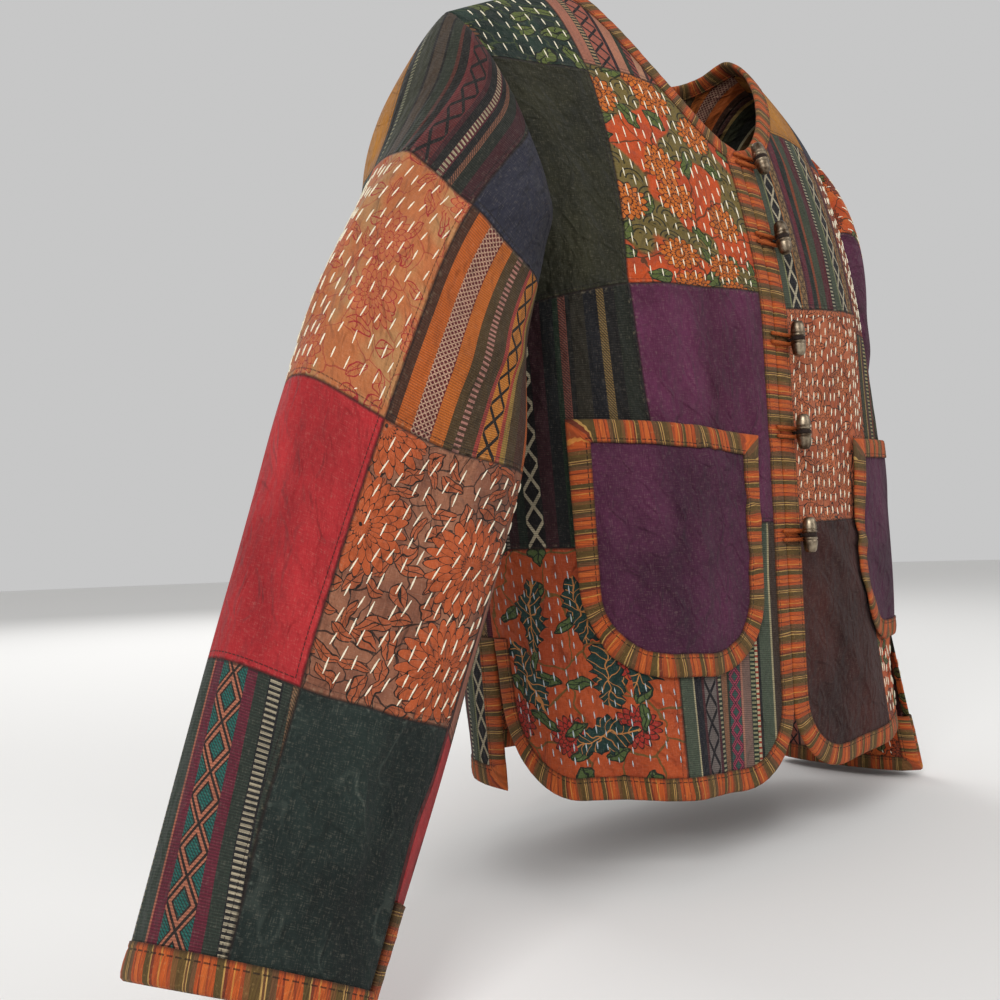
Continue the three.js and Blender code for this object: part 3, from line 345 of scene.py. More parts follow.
def shoulder_z(x):
    inner = NECK_LIFT * (1 - x / NECK_X)
    outer = TIP_Z * (np.maximum(0, x - NECK_X) / (TIP_X - NECK_X)) ** SHOULDER_CURVE
    return np.where(x <= NECK_X, inner, outer)


class Panel:
    """One quarter of the body: where the places of its flat pattern lie."""

    def __init__(self, name, side, face):
        self.name = name
        self.side = side
        self.face = face
        across = np.arange(0.0, PANEL_WIDTH + 1, 1.0)
        part = across / PANEL_WIDTH
        shoulder_x = TIP_X * across / ARMHOLE_ACROSS
        top = shoulder_z(shoulder_x)
        full_z = CHEST_Z if face < 0 else BLADE_Z
        rounding = CHEST_ROUND if face < 0 else BLADE_ROUND
        curve_steps = 36
        straight_steps = 48
        k = np.arange(0, curve_steps + straight_steps + 1)
        angle = np.minimum(1, k / curve_steps) * math.pi / 2
        reach = np.sin(angle) ** (2 / rounding)
        drop = np.where(k <= curve_steps, 1 - np.maximum(0, np.cos(angle)) ** (2 / rounding), 1.0)
        fall = np.maximum(0, k - curve_steps) / straight_steps
        z = mix(top[:, None], full_z, drop[None]) + (LOWEST_Z - full_z) * fall[None]
        half = read_table(BODY_SECTIONS, SECTION_COLUMNS, "right" if side < 0 else "left", z)
        depth = read_table(BODY_SECTIONS, SECTION_COLUMNS, "front" if face < 0 else "back", z)
        square = read_table(BODY_SECTIONS, SECTION_COLUMNS, "square", z)
        turn = np.linspace(0, math.pi / 2, 49)
        ring = np.stack([
            half[..., None] * np.sin(turn) ** (2 / square[..., None]),
            depth[..., None] * np.maximum(np.cos(turn), 0) ** (2 / square[..., None]),
        ], axis=-1)
        section = along_line(ring, np.broadcast_to(part[:, None], z.shape))
        blend = smooth((top[:, None] - z) / (top[:, None] - SHOULDER_BLEND_Z))
        shift = 0.0
        if side < 0:
            shift = read_table(BODY_SECTIONS, SECTION_COLUMNS, "seam_shift", z) * part[:, None] ** 2
        x = side * mix(shoulder_x[:, None], section[..., 0], blend)
        y = face * section[..., 1] * reach[None] + shift
        points = np.stack([x, y, z], axis=-1)
        steps = np.linalg.norm(np.diff(points, axis=1), axis=-1)
        lengths = np.concatenate([np.zeros((len(across), 1)), np.cumsum(steps, axis=1)], axis=1)
        dip = FRONT_DIP * (1 - part) ** 2 if face < 0 else np.zeros_like(part)
        self.shoulder = np.array([np.interp(d - HEM_Z, -zz, ll)
                                  for d, zz, ll in zip(dip, z, lengths)])
        self.fall = np.arange(0.0, 760.0, 2.0)
        self.table = np.stack([
            np.stack([np.interp(self.fall, ll, pp[:, axis]) for axis in range(3)], axis=-1)
            for ll, pp in zip(lengths, points)
        ])

    def shoulder_rise(self, across):
        return np.interp(across, np.arange(len(self.shoulder)), self.shoulder)

    def rise_at(self, across, z):
        k = int(round(across))
        return self.shoulder[k] - np.interp(-z, -self.table[k, :, 2], self.fall)

    def plain(self, across, rise):
        across = np.clip(across, 0, PANEL_WIDTH)
        fall = np.clip(self.shoulder_rise(across) - rise, 0, self.fall[-1] - 2.01)
        i = np.minimum(across.astype(int), int(PANEL_WIDTH) - 1)
        j = (fall / 2).astype(int)
        a = (across - i)[..., None]
        b = (fall / 2 - j)[..., None]
        table = self.table
        near = (1 - b) * table[i, j] + b * table[i, j + 1]
        far = (1 - b) * table[i + 1, j] + b * table[i + 1, j + 1]
        return (1 - a) * near + a * far

    def facing(self, place, across, rise, step=3.0):
        sideways = place(across + step, rise) - place(across - step, rise)
        upwards = place(across, rise + step) - place(across, rise - step)
        return unit(np.cross(sideways, upwards) * (-self.side * self.face))

    def place(self, across, rise):
        """Places on the cloth, folds and creases included."""
        across, rise = np.broadcast_arrays(np.asarray(across, float), np.asarray(rise, float))
        open_part = np.clip(1 - rise / SLIT_RISE, 0, None)
        across = across - SLIT_LEAN * open_part * smooth((across - 200) / (SLIT_EDGE - 200))
        fade = smooth((PANEL_WIDTH - across) / SEAM_FADE) * smooth(across / CENTRE_FADE)
        height = ridges(BODY_FOLDS[self.name] + CREASES[self.name], across, rise) * fade
        return self.plain(across, rise) + self.facing(self.plain, across, rise) * height[..., None]

    def normal(self, across, rise):
        across, rise = np.broadcast_arrays(np.asarray(across, float), np.asarray(rise, float))
        return self.facing(self.place, across, rise)

    def armhole_rise(self, across):
        turn = self.rise_at(ARMHOLE_ACROSS, ARMHOLE_TURN_Z)
        bottom = self.rise_at(PANEL_WIDTH, UNDERARM_Z)
        reach = (PANEL_WIDTH - np.maximum(across, ARMHOLE_ACROSS)) / (PANEL_WIDTH - ARMHOLE_ACROSS)
        return turn - (turn - bottom) * np.sqrt(np.clip(1 - reach ** 2, 0, 1))

    def top_rise(self, across):
        start = INSET if self.face < 0 else 0.0
        low = self.rise_at(start, FRONT_NECK_Z if self.face < 0 else BACK_NECK_Z)
        high = self.shoulder_rise(NECK_EDGE) - SEAM_GAP / 2
        curve = NECK_CURVE if self.face < 0 else BACK_NECK_CURVE
        part = np.clip((across - start) / (NECK_EDGE - start), 0, 1)
        neck = mix(low, high, 1 - (1 - part ** curve) ** (1 / curve))
        return np.where(across >= NECK_EDGE, self.shoulder_rise(across) - SEAM_GAP / 2, neck)

    def bottom_rise(self, across):
        straight = BINDING_WIDTH + SEAM_GAP
        if self.face > 0:
            return np.full(np.shape(across), straight)
        from_edge = np.clip(np.minimum(across - INSET, SLIT_EDGE - across), 0, HEM_CORNER)
        reach = HEM_CORNER - from_edge
        return straight + HEM_CORNER - np.sqrt(np.maximum(0, HEM_CORNER ** 2 - reach ** 2))


PANELS = {
    "front_right": Panel("front_right", -1, -1),
    "front_left": Panel("front_left", 1, -1),
    "back_right": Panel("back_right", -1, 1),
    "back_left": Panel("back_left", 1, 1),
}


class Sleeve:
    """A sleeve's cloth, by part round (from under the arm, forwards) and part along."""

    def __init__(self, name):
        self.name = name
        self.side = -1 if name == "right" else 1
        self.stations = SLEEVES[name]["stations"]
        self.folds = SLEEVES[name]["folds"] + SLEEVES[name]["creases"]
        centre = self.frame(np.linspace(0, 1, 61))[0]
        self.length = np.linalg.norm(np.diff(centre, axis=0), axis=-1).sum()
        self.girth_table = self.girth_at(np.linspace(0, 1, 41))
        self.girth = self.girth_table[-1]
        self.make_head()

    def line(self, which, at):
        columns = [read_table(self.stations, STATION_COLUMNS, f"{which}_{axis}", at) for axis in "xyz"]
        return np.stack(columns, axis=-1)

    def frame(self, at):
        under = self.line("under", at)
        over = self.line("over", at)
        first = unit(under - over)
        half = np.linalg.norm(under - over, axis=-1) / 2
        later = np.minimum(1, at + 0.02)
        sooner = np.maximum(0, at - 0.02)
        axis = unit(self.line("under", later) + self.line("over", later)
                    - self.line("under", sooner) - self.line("over", sooner))
        thin = read_table(self.stations, STATION_COLUMNS, "half", at)
        forward = unit(np.array([0.0, -1.0, 0.0]) + first * first[..., 1:2])
        square = unit(np.cross(first, axis) * self.side)
        across = unit(mix(forward, square, smooth(at / HEAD_REACH)[..., None]))
        return (under + over) / 2, first, across, half, thin

    def oval(self, half, thin):
        angle = np.linspace(0, 2 * math.pi, 97)
        cos = np.sign(np.cos(angle)) * np.abs(np.cos(angle)) ** (2 / SLEEVE_SQUARE)
        sin = np.sign(np.sin(angle)) * np.abs(np.sin(angle)) ** (2 / SLEEVE_SQUARE)
        return np.stack([half[..., None] * cos, thin[..., None] * sin], axis=-1)

    def girth_at(self, at):
        half, thin = self.frame(at)[3:]
        return np.linalg.norm(np.diff(self.oval(half, thin), axis=-2), axis=-1).sum(-1)

    def local_girth(self, at):
        return np.interp(at, np.linspace(0, 1, 41), self.girth_table)

    def fold_height(self, part, at):
        total = np.zeros(part.shape)
        for a0, l0, a1, l1, height, width in self.folds:
            du = (a1 - a0) * self.girth
            dv = (l1 - l0) * self.length
            span = math.hypot(du, dv)
            u = (part - a0) * self.girth
            v = (at - l0) * self.length
            along = (u * du + v * dv) / span ** 2
            aside = (u * dv - v * du) / span
            ends = smooth((along + 0.2) / 0.4) * smooth((1.2 - along) / 0.4)
            total = total + height * ends * np.exp(-((aside / width) ** 2))
        return total

    def place_part(self, part, at):
        """Places by the true part round, for the cuff and the seams."""
        part, at = np.broadcast_arrays(np.asarray(part, float), np.asarray(at, float))
        centre, first, across, half, thin = self.frame(at)
        turned = part - np.floor(part)
        pq = along_line(self.oval(half, thin), turned)
        pq = pq * (1 + self.fold_height(turned, at) / np.linalg.norm(pq, axis=-1))[..., None]
        return centre + first * pq[..., 0:1] + across * pq[..., 1:2]

    def normal_part(self, part, at, step=0.004):
        around = self.place_part(part + step, at) - self.place_part(part - step, at)
        along = self.place_part(part, np.minimum(at + step, 1.05)) - self.place_part(part, at - step)
        return unit(np.cross(around, along) * -self.side)

    def make_head(self):
        """The armhole's edge by its part of length, from under the arm, up the front."""
        front = PANELS[f"front_{self.name}"]
        back = PANELS[f"back_{self.name}"]
        low = np.linspace(PANEL_WIDTH, ARMHOLE_ACROSS, 60)[:-1]
        halves = []
        for panel in (front, back):
            turn = panel.armhole_rise(ARMHOLE_ACROSS)
            high = np.linspace(turn, panel.shoulder_rise(ARMHOLE_ACROSS), 90)
            across = np.concatenate([low, np.full(90, ARMHOLE_ACROSS + SEAM_GAP)])
            rise = np.concatenate([panel.armhole_rise(low) + SEAM_GAP, high])
            halves.append((panel.place(across, rise), panel.normal(across, rise)))
        (front_at, front_way), (back_at, back_way) = halves
        points = np.concatenate([front_at, back_at[::-1][1:]])
        ways = np.concatenate([front_way, back_way[::-1][1:]])
        reached = np.concatenate([[0], np.cumsum(np.linalg.norm(np.diff(points, axis=0), axis=-1))])
        self.head_parts = reached / reached[-1]
        self.head_points = points
        self.head_ways = ways
        count = len(low)
        slit = (PANEL_WIDTH - SLIT_EDGE) / (PANEL_WIDTH - ARMHOLE_ACROSS) * count
        steps = np.arange(count)
        self.first_part = float(np.interp(slit, steps, self.head_parts[:count]))
        self.last_part = float(np.interp(slit, steps, self.head_parts[::-1][:count]))
        self.slit_part = (SEAM_GAP / 2 + BINDING_WIDTH + CUFF_GAP) / self.girth

    def part_at(self, s, at):
        """The true part round, from the part of the armhole that a lengthwise line starts at."""
        first = self.first_part
        last = self.last_part
        share = mix(self.slit_part, 1 - self.slit_part, (s - first) / (last - first))
        share = np.where(s < first, s / first * self.slit_part, share)
        share = np.where(s > last, 1 - (1 - s) / (1 - last) * self.slit_part, share)
        return mix(s, share, smooth(at / EVEN_REACH))

    def place(self, s, at):
        s, at = np.broadcast_arrays(np.asarray(s, float), np.asarray(at, float))
        s = s - np.floor(s)
        target = self.place_part(self.part_at(s, at), at)
        head = np.stack([np.interp(s, self.head_parts, self.head_points[:, axis]) for axis in range(3)], -1)
        blend = 1 - np.maximum(0, 1 - at / HEAD_BLEND) ** HEAD_CURVE
        point = mix(head, target, np.clip(blend, 0, 1)[..., None])
        turn = np.array(UNDERARM_TURN)
        near = smooth(1 - np.minimum(s, 1 - s) / UNDERARM_PART)
        point[..., 2] += np.interp(at, turn[:, 0], turn[:, 1]) * near
        point[..., 0] += np.interp(at, turn[:, 0], turn[:, 2]) * near * self.side
        return point

    def normal(self, s, at, step=0.004):
        s, at = np.broadcast_arrays(np.asarray(s, float), np.asarray(at, float))
        around = self.place(s + step, at) - self.place(s - step, at)
        along = self.place(s, np.minimum(at + step, 1.05)) - self.place(s, np.maximum(at - step, 0))
        way = unit(np.cross(around, along) * -self.side)
        head = np.stack([np.interp(s, self.head_parts, self.head_ways[:, axis]) for axis in range(3)], -1)
        return unit(mix(head, way, smooth(at / 0.03)[..., None]))


SLEEVE_SURFACES = {"right": Sleeve("right"), "left": Sleeve("left")}


# Meshes

def add_object(name, points, faces, materials):
    mesh = bpy.data.meshes.new(name)
    mesh.from_pydata([tuple(p) for p in np.asarray(points) / 1000], [], faces)
    mesh.polygons.foreach_set("use_smooth", [True] * len(faces))
    for material in materials:
        mesh.materials.append(material)
    obj = bpy.data.objects.new(name, mesh)
    bpy.context.scene.collection.objects.link(obj)
    return obj


def settle(obj, slot, *nodes):
    if nodes:
        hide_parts(*nodes)
    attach(obj, "root")


def add_uv(obj, name, values):
    layer = obj.data.uv_layers.new(name=name)
    layer.data.foreach_set("uv", np.asarray(values, np.float32).ravel())


class Cut:
    """A patchwork piece: the grid of its cells, with each cell's patch."""

    def __init__(self, columns, rows, patches, region, warp, wrap=None):
        self.rings = []
        self.patch_of = []
        self.flats = []
        known = {}
        places = []
        for i in range(len(columns) - 1):
            middle = (columns[i] + columns[i + 1]) / 2
            bottom, top = region(middle)
            ui = [columns[i], columns[i + 1]]
            low = [float(bottom(u)) for u in ui]
            high = [float(top(u)) for u in ui]
            for j in range(len(rows) - 1):
                if rows[j + 1] <= min(low) or rows[j] >= max(high):
                    continue
                level = (rows[j] + rows[j + 1]) / 2
                patch = patches(middle, level)
                ring = []
                flats = []
                for a, r in ((0, rows[j]), (1, rows[j]), (1, rows[j + 1]), (0, rows[j + 1])):
                    kept = min(max(r, low[a]), high[a])
                    u, rise = warp(ui[a], kept)
                    if kept >= high[a]:
                        rise = float(top(u))
                    elif kept <= low[a]:
                        rise = float(bottom(u))
                    wrapped = u % wrap if wrap else u
                    key = (round(wrapped, 4), round(rise, 4))
                    if key not in known:
                        known[key] = len(places)
                        places.append((wrapped, rise))
                    if known[key] not in ring:
                        ring.append(known[key])
                        flats.append((ui[a], kept))
                if len(ring) < 3:
                    continue
                self.rings.append(ring)
                self.patch_of.append(patch)
                self.flats.append(flats)
        self.places = np.array(places)


def shell(name, cut, place, normal, wall, measure, lift=0.0):
    """A closed cloth shell over a cut. measure gives a corner's local place and edge distances."""
    u, r = cut.places.T
    points = place(u, r)
    ways = normal(u, r)
    count = len(points)
    outer = points + ways * (lift + wall / 2)
    inner = points + ways * (lift - wall / 2)
    first = cut.rings[len(cut.rings) // 2]
    turn = np.cross(outer[first[1]] - outer[first[0]], outer[first[2]] - outer[first[0]])
    flip = float(np.dot(turn, ways[first[0]])) < 0
    used = sorted({patch["design"] for patch in cut.patch_of})
    index = {design: k for k, design in enumerate(used)}
    faces = []
    corners_of = []
    slots = []
    edges = {}
    for ring, patch, corners in zip(cut.rings, cut.patch_of, cut.flats):
        loop = [measure(patch, *corner) for corner in corners]
        n = len(ring)
        for a in range(n):
            pair = (ring[a], ring[(a + 1) % n])
            back = (pair[1], pair[0])
            if back in edges:
                del edges[back]
            else:
                edges[pair] = (loop[a], loop[(a + 1) % n], index[patch["design"]])
        over = ring[::-1] if flip else ring
        over_loop = loop[::-1] if flip else loop
        faces.append(over)
        faces.append([k + count for k in over[::-1]])
        corners_of.extend(over_loop + over_loop[::-1])
        slots.extend([index[patch["design"]]] * 2)
    for (a, b), (loop_a, loop_b, slot) in edges.items():
        face = [a, b, b + count, a + count]
        loop = [loop_a, loop_b, loop_b, loop_a]
        if not flip:
            face = face[::-1]
            loop = loop[::-1]
        faces.append(face)
        slots.append(slot)
        corners_of.extend(loop)
    obj = add_object(name, np.concatenate([outer, inner]), faces, [LOOKS[design] for design in used])
    obj.data.polygons.foreach_set("material_index", slots)
    for k, layer in enumerate(("flat", "sides", "ends")):
        add_uv(obj, layer, [corner[2 * k:2 * k + 2] for corner in corners_of])
    return obj


def filled(marks, step):
    """Marks with further values between them, no further apart than a step."""
    marks = sorted(set(marks))
    values = [marks[0]]
    for a, b in zip(marks, marks[1:]):
        if b - a < 0.05:
            continue
        count = max(1, math.ceil((b - a) / step))
        values.extend(a + (b - a) * k / count for k in range(1, count + 1))
    return values


def patch_finder(columns):
    """Columns: (from, to, ((from, to, design), ...)) across and up a piece."""
    last = len(columns) - 1

    def find(u, r):
        for c, (start, end, rows) in enumerate(columns):
            if start <= u < end or c == last:
                for k, (low, high, design) in enumerate(rows):
                    if low <= r < high or k == len(rows) - 1:
                        return {
                            "design": design, "box": (start, end, low, high),
                            "open": (c == 0, c == last, k == 0, k == len(rows) - 1),
                        }
    return find


# The strip of patches along the underside of each sleeve, which its own seam divides
UNDER_RIGHT = ((0, 0.255, "terracotta_kantha"), (0.255, 0.49, "purple"),
               (0.49, 0.74, "handloom_pink"), (0.74, 1.1, "red_plain"))
UNDER_LEFT = ((0, 0.26, "red_plain"), (0.26, 0.5, "rose_kantha"), (0.5, 0.75, "olive_black"),
              (0.75, 1.1, "orange_print"))

PATCHES = {
    "front_right": (
        (0, 138, ((0, 192, "handloom_grey"), (192, 350, "purple"), (350, 548, "scale_print"),
                  (548, 900, "handloom_pink"))),
        (138, 280, ((0, 176, "leaf_print"), (176, 350, "handloom_dark"), (350, 540, "olive_black"),
                    (540, 900, "teal_kantha"))),
    ),
    "front_left": (
        (0, 140, ((0, 196, "maroon_brown"), (196, 378, "terracotta_kantha"),
                  (378, 545, "handloom_green"), (545, 900, "mustard"))),
        (140, 280, ((0, 182, "orange_print"), (182, 360, "handloom_olive"), (360, 530, "rust_kantha"),
                    (530, 900, "navy_slate"))),
    ),
    "back_right": (
        (0, 140, ((0, 170, "rust_kantha"), (170, 345, "navy_slate"), (345, 515, "handloom_pink"),
                  (515, 900, "terracotta_kantha"))),
        (140, 280, ((0, 196, "handloom_green"), (196, 372, "teal_kantha"), (372, 552, "mustard"),
                    (552, 900, "handloom_dark"))),
    ),
    "back_left": (
        (0, 140, ((0, 188, "olive_black"), (188, 362, "orange_print"), (362, 538, "purple"),
                  (538, 900, "handloom_orange"))),
        (140, 280, ((0, 174, "handloom_grey"), (174, 352, "red_plain"), (352, 524, "rose_kantha"),
                    (524, 900, "handloom_olive"))),
    ),
    "sleeve_right": (
        (0, 0.033, UNDER_RIGHT),
        (0.033, 0.283, ((0, 0.255, "navy_slate"), (0.255, 0.49, "handloom_orange"),
                        (0.49, 0.74, "rose_kantha"), (0.74, 1.1, "green_black"))),
        (0.283, 0.533, ((0, 0.255, "handloom_shoulder"), (0.255, 0.49, "tan_kantha"),
                        (0.49, 0.74, "red_plain"), (0.74, 1.1, "handloom_sleeve"))),
        (0.533, 0.783, ((0, 0.255, "mustard"), (0.255, 0.49, "teal_kantha"),
                        (0.49, 0.74, "handloom_green"), (0.74, 1.1, "rust_kantha"))),
        (0.783, 1, UNDER_RIGHT),
    ),
    "sleeve_left": (
        (0, 0.033, UNDER_LEFT),
        (0.033, 0.283, ((0, 0.26, "purple"), (0.26, 0.5, "teal_kantha"), (0.5, 0.75, "orange_print"),
                        (0.75, 1.1, "handloom_green"))),
        (0.283, 0.533, ((0, 0.26, "orange_print"), (0.26, 0.5, "handloom_dark"),
                        (0.5, 0.75, "maroon_brown"), (0.75, 1.1, "tan_kantha"))),
        (0.533, 0.783, ((0, 0.26, "handloom_olive"), (0.26, 0.5, "terracotta_kantha"),
                        (0.5, 0.75, "navy_slate"), (0.75, 1.1, "handloom_pink"))),
        (0.783, 1, UNDER_LEFT),
    ),
}

# How far the seam between the two columns of a panel strays, by rise
SEAM_STRAY = {
    "front_right": ((0, -9), (106, -6), (200, -1), (264, 0), (356, 10), (450, 4), (532, -2), (900, -4)),
    "front_left": ((0, 4), (190, -2), (370, 3), (545, -2), (900, 0)),
    "back_right": ((0, -3), (200, 3), (400, -2), (900, 2)),
    "back_left": ((0, 3), (200, -3), (400, 3), (900, -1)),
}
STRAY_REACH = 60.0
# Slants of the cross seams: rise on the flat pattern, shifts at centre, middle seam and side
SEAM_SLANT = {"front_right": ((350, 34, 14, -15), (192, 11, 0, 0)),
              "front_left": ((378, -6, 0, 0), (196, 5, 0, 0)),
              "back_right": ((345, 5, 0, 0),), "back_left": ((362, -5, 0, 0),)}
SLANT_REACH = 70.0


def panel_warp(name):
    keys = np.array(SEAM_STRAY[name], float)
    edge = PATCHES[name][0][1]

    def warp(u, r):
        tent = max(0.0, 1 - abs(u - edge) / STRAY_REACH)
        shifted = r
        for level, *amounts in SEAM_SLANT[name]:
            near = max(0.0, 1 - abs(r - level) / SLANT_REACH)
            shifted += near * float(np.interp(u, (0, edge, PANEL_WIDTH), amounts))
        return u + tent * float(np.interp(r, keys[:, 0], keys[:, 1])), shifted
    return warp


def panel_cut(name):
    panel = PANELS[name]
    front = panel.face < 0
    start = INSET if front else 0.0
    edge = PATCHES[name][0][1]
    marks = [start, start + EDGE_CELL, edge, NECK_EDGE - EDGE_CELL, NECK_EDGE, ARMHOLE_ACROSS,
             ARMHOLE_ACROSS + 1, SLIT_EDGE - EDGE_CELL, SLIT_EDGE, SIDE_EDGE]
    columns = filled(marks, CELL)
    levels = [low for _, _, rows in PATCHES[name] for low, _, _ in rows if low > 0]
    rows = filled([BINDING_WIDTH + SEAM_GAP, SLIT_RISE, TOP_RISE] + levels, CELL)
    over = np.linspace(0, PANEL_WIDTH, 1121)
    armhole = panel.armhole_rise(over)
    tops = panel.top_rise(over)
    bottoms = panel.bottom_rise(over)

    def region(middle):
        low = (lambda u: np.interp(u, over, bottoms)) if middle < SLIT_EDGE else (lambda u: SLIT_RISE)
        table = armhole if middle > ARMHOLE_ACROSS else tops
        return low, lambda u: np.interp(u, over, table)

    return Cut(columns, rows, patch_finder(PATCHES[name]), region, panel_warp(name))


def panel_measure(name):
    panel = PANELS[name]
    mirrored = panel.side * panel.face > 0

    def measure(patch, u, r):
        start, end, low, high = patch["box"]
        width = end - start
        near = u - start + (OPEN if patch["open"][0] else 0)
        far = end - u + (OPEN if patch["open"][1] else 0)
        x = width - (u - start) if mirrored else u - start
        left, right = (far, near) if mirrored else (near, far)
        bottom = r - low + (OPEN if patch["open"][2] else 0)
        top = high - r + (OPEN if patch["open"][3] else 0)
        return x, r - low, left, right, bottom, top
    return measure


# The cross seams of a sleeve rise towards the armhole on its far side from the front
SLEEVE_SLANT = {"right": 0.14, "left": 0.1}
# Part round at which they are lowest, and the most that they rise, in slants
LOWEST_PART = 0.283
MOST_TILT = 1.5


def sleeve_ends(sleeve):
    """Parts along a sleeve where its cuff slit starts and where its cloth ends."""
    return 1 - CUFF_SLIT / sleeve.length, 1 - (BINDING_WIDTH + CUFF_GAP) / sleeve.length


def sleeve_warp(name, s, at):
    end = sleeve_ends(SLEEVE_SURFACES[name])[0]
    if at <= 0 or at >= end:
        return s, at
    slant = SLEEVE_SLANT[name] * (1 - at / end) * smooth(at / 0.25)
    turn = 2 * math.pi * (s - LOWEST_PART)
    tilt = min(MOST_TILT, (1 - math.cos(turn)) * (1.05 - 0.55 * math.sin(turn)))
    return s, at - slant * tilt * min(1, at / 0.2)


def sleeve_cut(name):
    sleeve = SLEEVE_SURFACES[name]
    key = f"sleeve_{name}"
    slit_at, end_at = sleeve_ends(sleeve)
    seams = [start for start, _, _ in PATCHES[key]]
    columns = filled([0, sleeve.first_part, sleeve.last_part, 1] + seams[1:], SLEEVE_CELL_PART)
    levels = [low for _, _, rows in PATCHES[key] for low, _, _ in rows if low > 0]
    rows = filled([0, 0.01, slit_at, end_at] + levels, SLEEVE_CELL / sleeve.length)

    def region(middle):
        ends = slit_at if middle < sleeve.first_part or middle > sleeve.last_part else end_at
        return (lambda u: 0.0), (lambda u: ends)

    return Cut(columns, rows, patch_finder(PATCHES[key]), region,
               lambda s, at: sleeve_warp(name, s, at), wrap=1.0)


def sleeve_measure(name):
    sleeve = SLEEVE_SURFACES[name]
    mirrored = name == "right"

    def measure(patch, s, at):
        start, end, low, high = patch["box"]
        girth = float(sleeve.local_girth(at))
        near = (s - start) * girth + (OPEN if start == 0 else 0)
        far = (end - s) * girth + (OPEN if end == 1 else 0)
        x = (end - s) * girth if mirrored else (s - start) * girth
        left, right = (far, near) if mirrored else (near, far)
        bottom = (high - at) * sleeve.length + (OPEN if patch["open"][3] else 0)
        top = (at - low) * sleeve.length + (OPEN if patch["open"][2] else 0)
        return x, (min(high, 1) - at) * sleeve.length, left, right, bottom, top
    return measure


def resample(line, step):
    """A polyline cut into short steps that keeps its corners."""
    points = [line[0]]
    for a, b in zip(line, line[1:]):
        length = math.hypot(b[0] - a[0], b[1] - a[1])
        if length < 1e-6:
            continue
        count = max(1, round(length / step))
        points.extend((a[0] + (b[0] - a[0]) * k / count, a[1] + (b[1] - a[1]) * k / count)
                      for k in range(1, count + 1))
    return np.array(points)


def edge_ways(edge, outward, closed):
    """Directions square to an edge on the flat pattern, drawn out at its corners."""
    before = np.roll(edge, 1, axis=0)
    after = np.roll(edge, -1, axis=0)
    if not closed:
        before[0] = edge[0] - (edge[1] - edge[0])
        after[-1] = edge[-1] + (edge[-1] - edge[-2])
    run_in = unit(edge - before)
    run_out = unit(after - edge)
    ways = np.stack([run_in[:, 1] + run_out[:, 1], -run_in[:, 0] - run_out[:, 0]], axis=-1) * outward
    return ways * 2 / (ways ** 2).sum(-1, keepdims=True)


# Section of a binding: distance from the cloth's edge, and height as a share of half its wall
BINDING_SECTION = ((-1.1, 0.62), (-0.9, 0.9), (0.4, 1.0), (1.5, 0.84), (2.8, 1.0), (7.5, 1.08),
                   (11.8, 1.0), (14.2, 0.72), (15.3, 0.0))
# Waves along it: radians for each millimetre, and height
PUCKER = ((0.61, 0.16), (0.27, 0.14), (0.11, 0.2))
BINDING_STEP = 3.0
# How many steps an end takes to turn to its own direction
END_STEPS = 8


def binding(name, line, outward, place, normal, node, first=None, last=None, closed=False,
            wall=BINDING_WALL, lift=0.0, gap=SEAM_GAP):
    """A folded strip of cloth along an edge line, from one end's direction to the other's."""
    edge = resample(line, BINDING_STEP)
    if closed:
        edge = edge[:-1]
    ways = edge_ways(edge, outward, closed)
    count = len(edge)
    for k in range(END_STEPS):
        t = smooth(k / END_STEPS)
        if first is not None:
            ways[k] = mix(np.array(first), ways[k], t)
        if last is not None:
            ways[-1 - k] = mix(np.array(last), ways[-1 - k], t)
    section = list(BINDING_SECTION) + [(d, -h) for d, h in BINDING_SECTION[-2::-1]]
    n = len(section)
    lengths = np.concatenate([[0], np.cumsum(np.linalg.norm(np.diff(edge, axis=0), axis=-1))])
    rings = []
    for d, h in section:
        distance = d if d < 0 else gap + d * (BINDING_WIDTH / BINDING_SECTION[-1][0])
        flat = edge + ways * distance
        pucker = sum(size * np.sin(lengths * rate + d * 0.3 + size * 40) for rate, size in PUCKER)
        height = lift + h * wall / 2 + pucker * (0.6 if d > 0 else 0)
        u, r = flat.T
        rings.append(place(u, r) + normal(u, r) * np.broadcast_to(height, u.shape)[:, None])
    points = np.stack(rings, axis=1)
    faces = []
    uvs = []
    spans = count if closed else count - 1
    total = lengths[-1] + (np.linalg.norm(edge[0] - edge[-1]) if closed else 0)
    for k in range(spans):
        here = k * n
        there = ((k + 1) % count) * n
        far = lengths[k + 1] if k + 1 < count else total
        for c in range(n):
            d = (c + 1) % n
            faces.append([here + c, there + c, there + d, here + d])
            uvs.extend([(lengths[k], section[c][0]), (far, section[c][0]),
                        (far, section[d][0]), (lengths[k], section[d][0])])
    if not closed:
        faces.append(list(range(n))[::-1])
        uvs.extend([(0, 5)] * n)
        faces.append([spans * n + c for c in range(n)])
        uvs.extend([(total, 5)] * n)
    flat_points = points.reshape(-1, 3)
    a, b, c = flat_points[faces[0][0]], flat_points[faces[0][1]], flat_points[faces[0][2]]
    outside = flat_points[faces[0][0]] - points[0].mean(0)
    if float(np.dot(np.cross(b - a, c - a), outside)) < 0:
        turned = []
        place_in = 0
        for face in faces:
            size = len(face)
            turned.extend(uvs[place_in:place_in + size][::-1])
            place_in += size
        uvs = turned
        faces = [face[::-1] for face in faces]
    obj = add_object(name, flat_points, faces, [BINDING_LOOK])
    add_uv(obj, "flat", uvs)
    settle(obj, "binding_cloth", node)


def shoulder_way(panel):
    here = panel.shoulder_rise(NECK_EDGE)
    there = panel.shoulder_rise(NECK_EDGE - BINDING_WIDTH)
    return (-1.0, float(there - here) / BINDING_WIDTH)


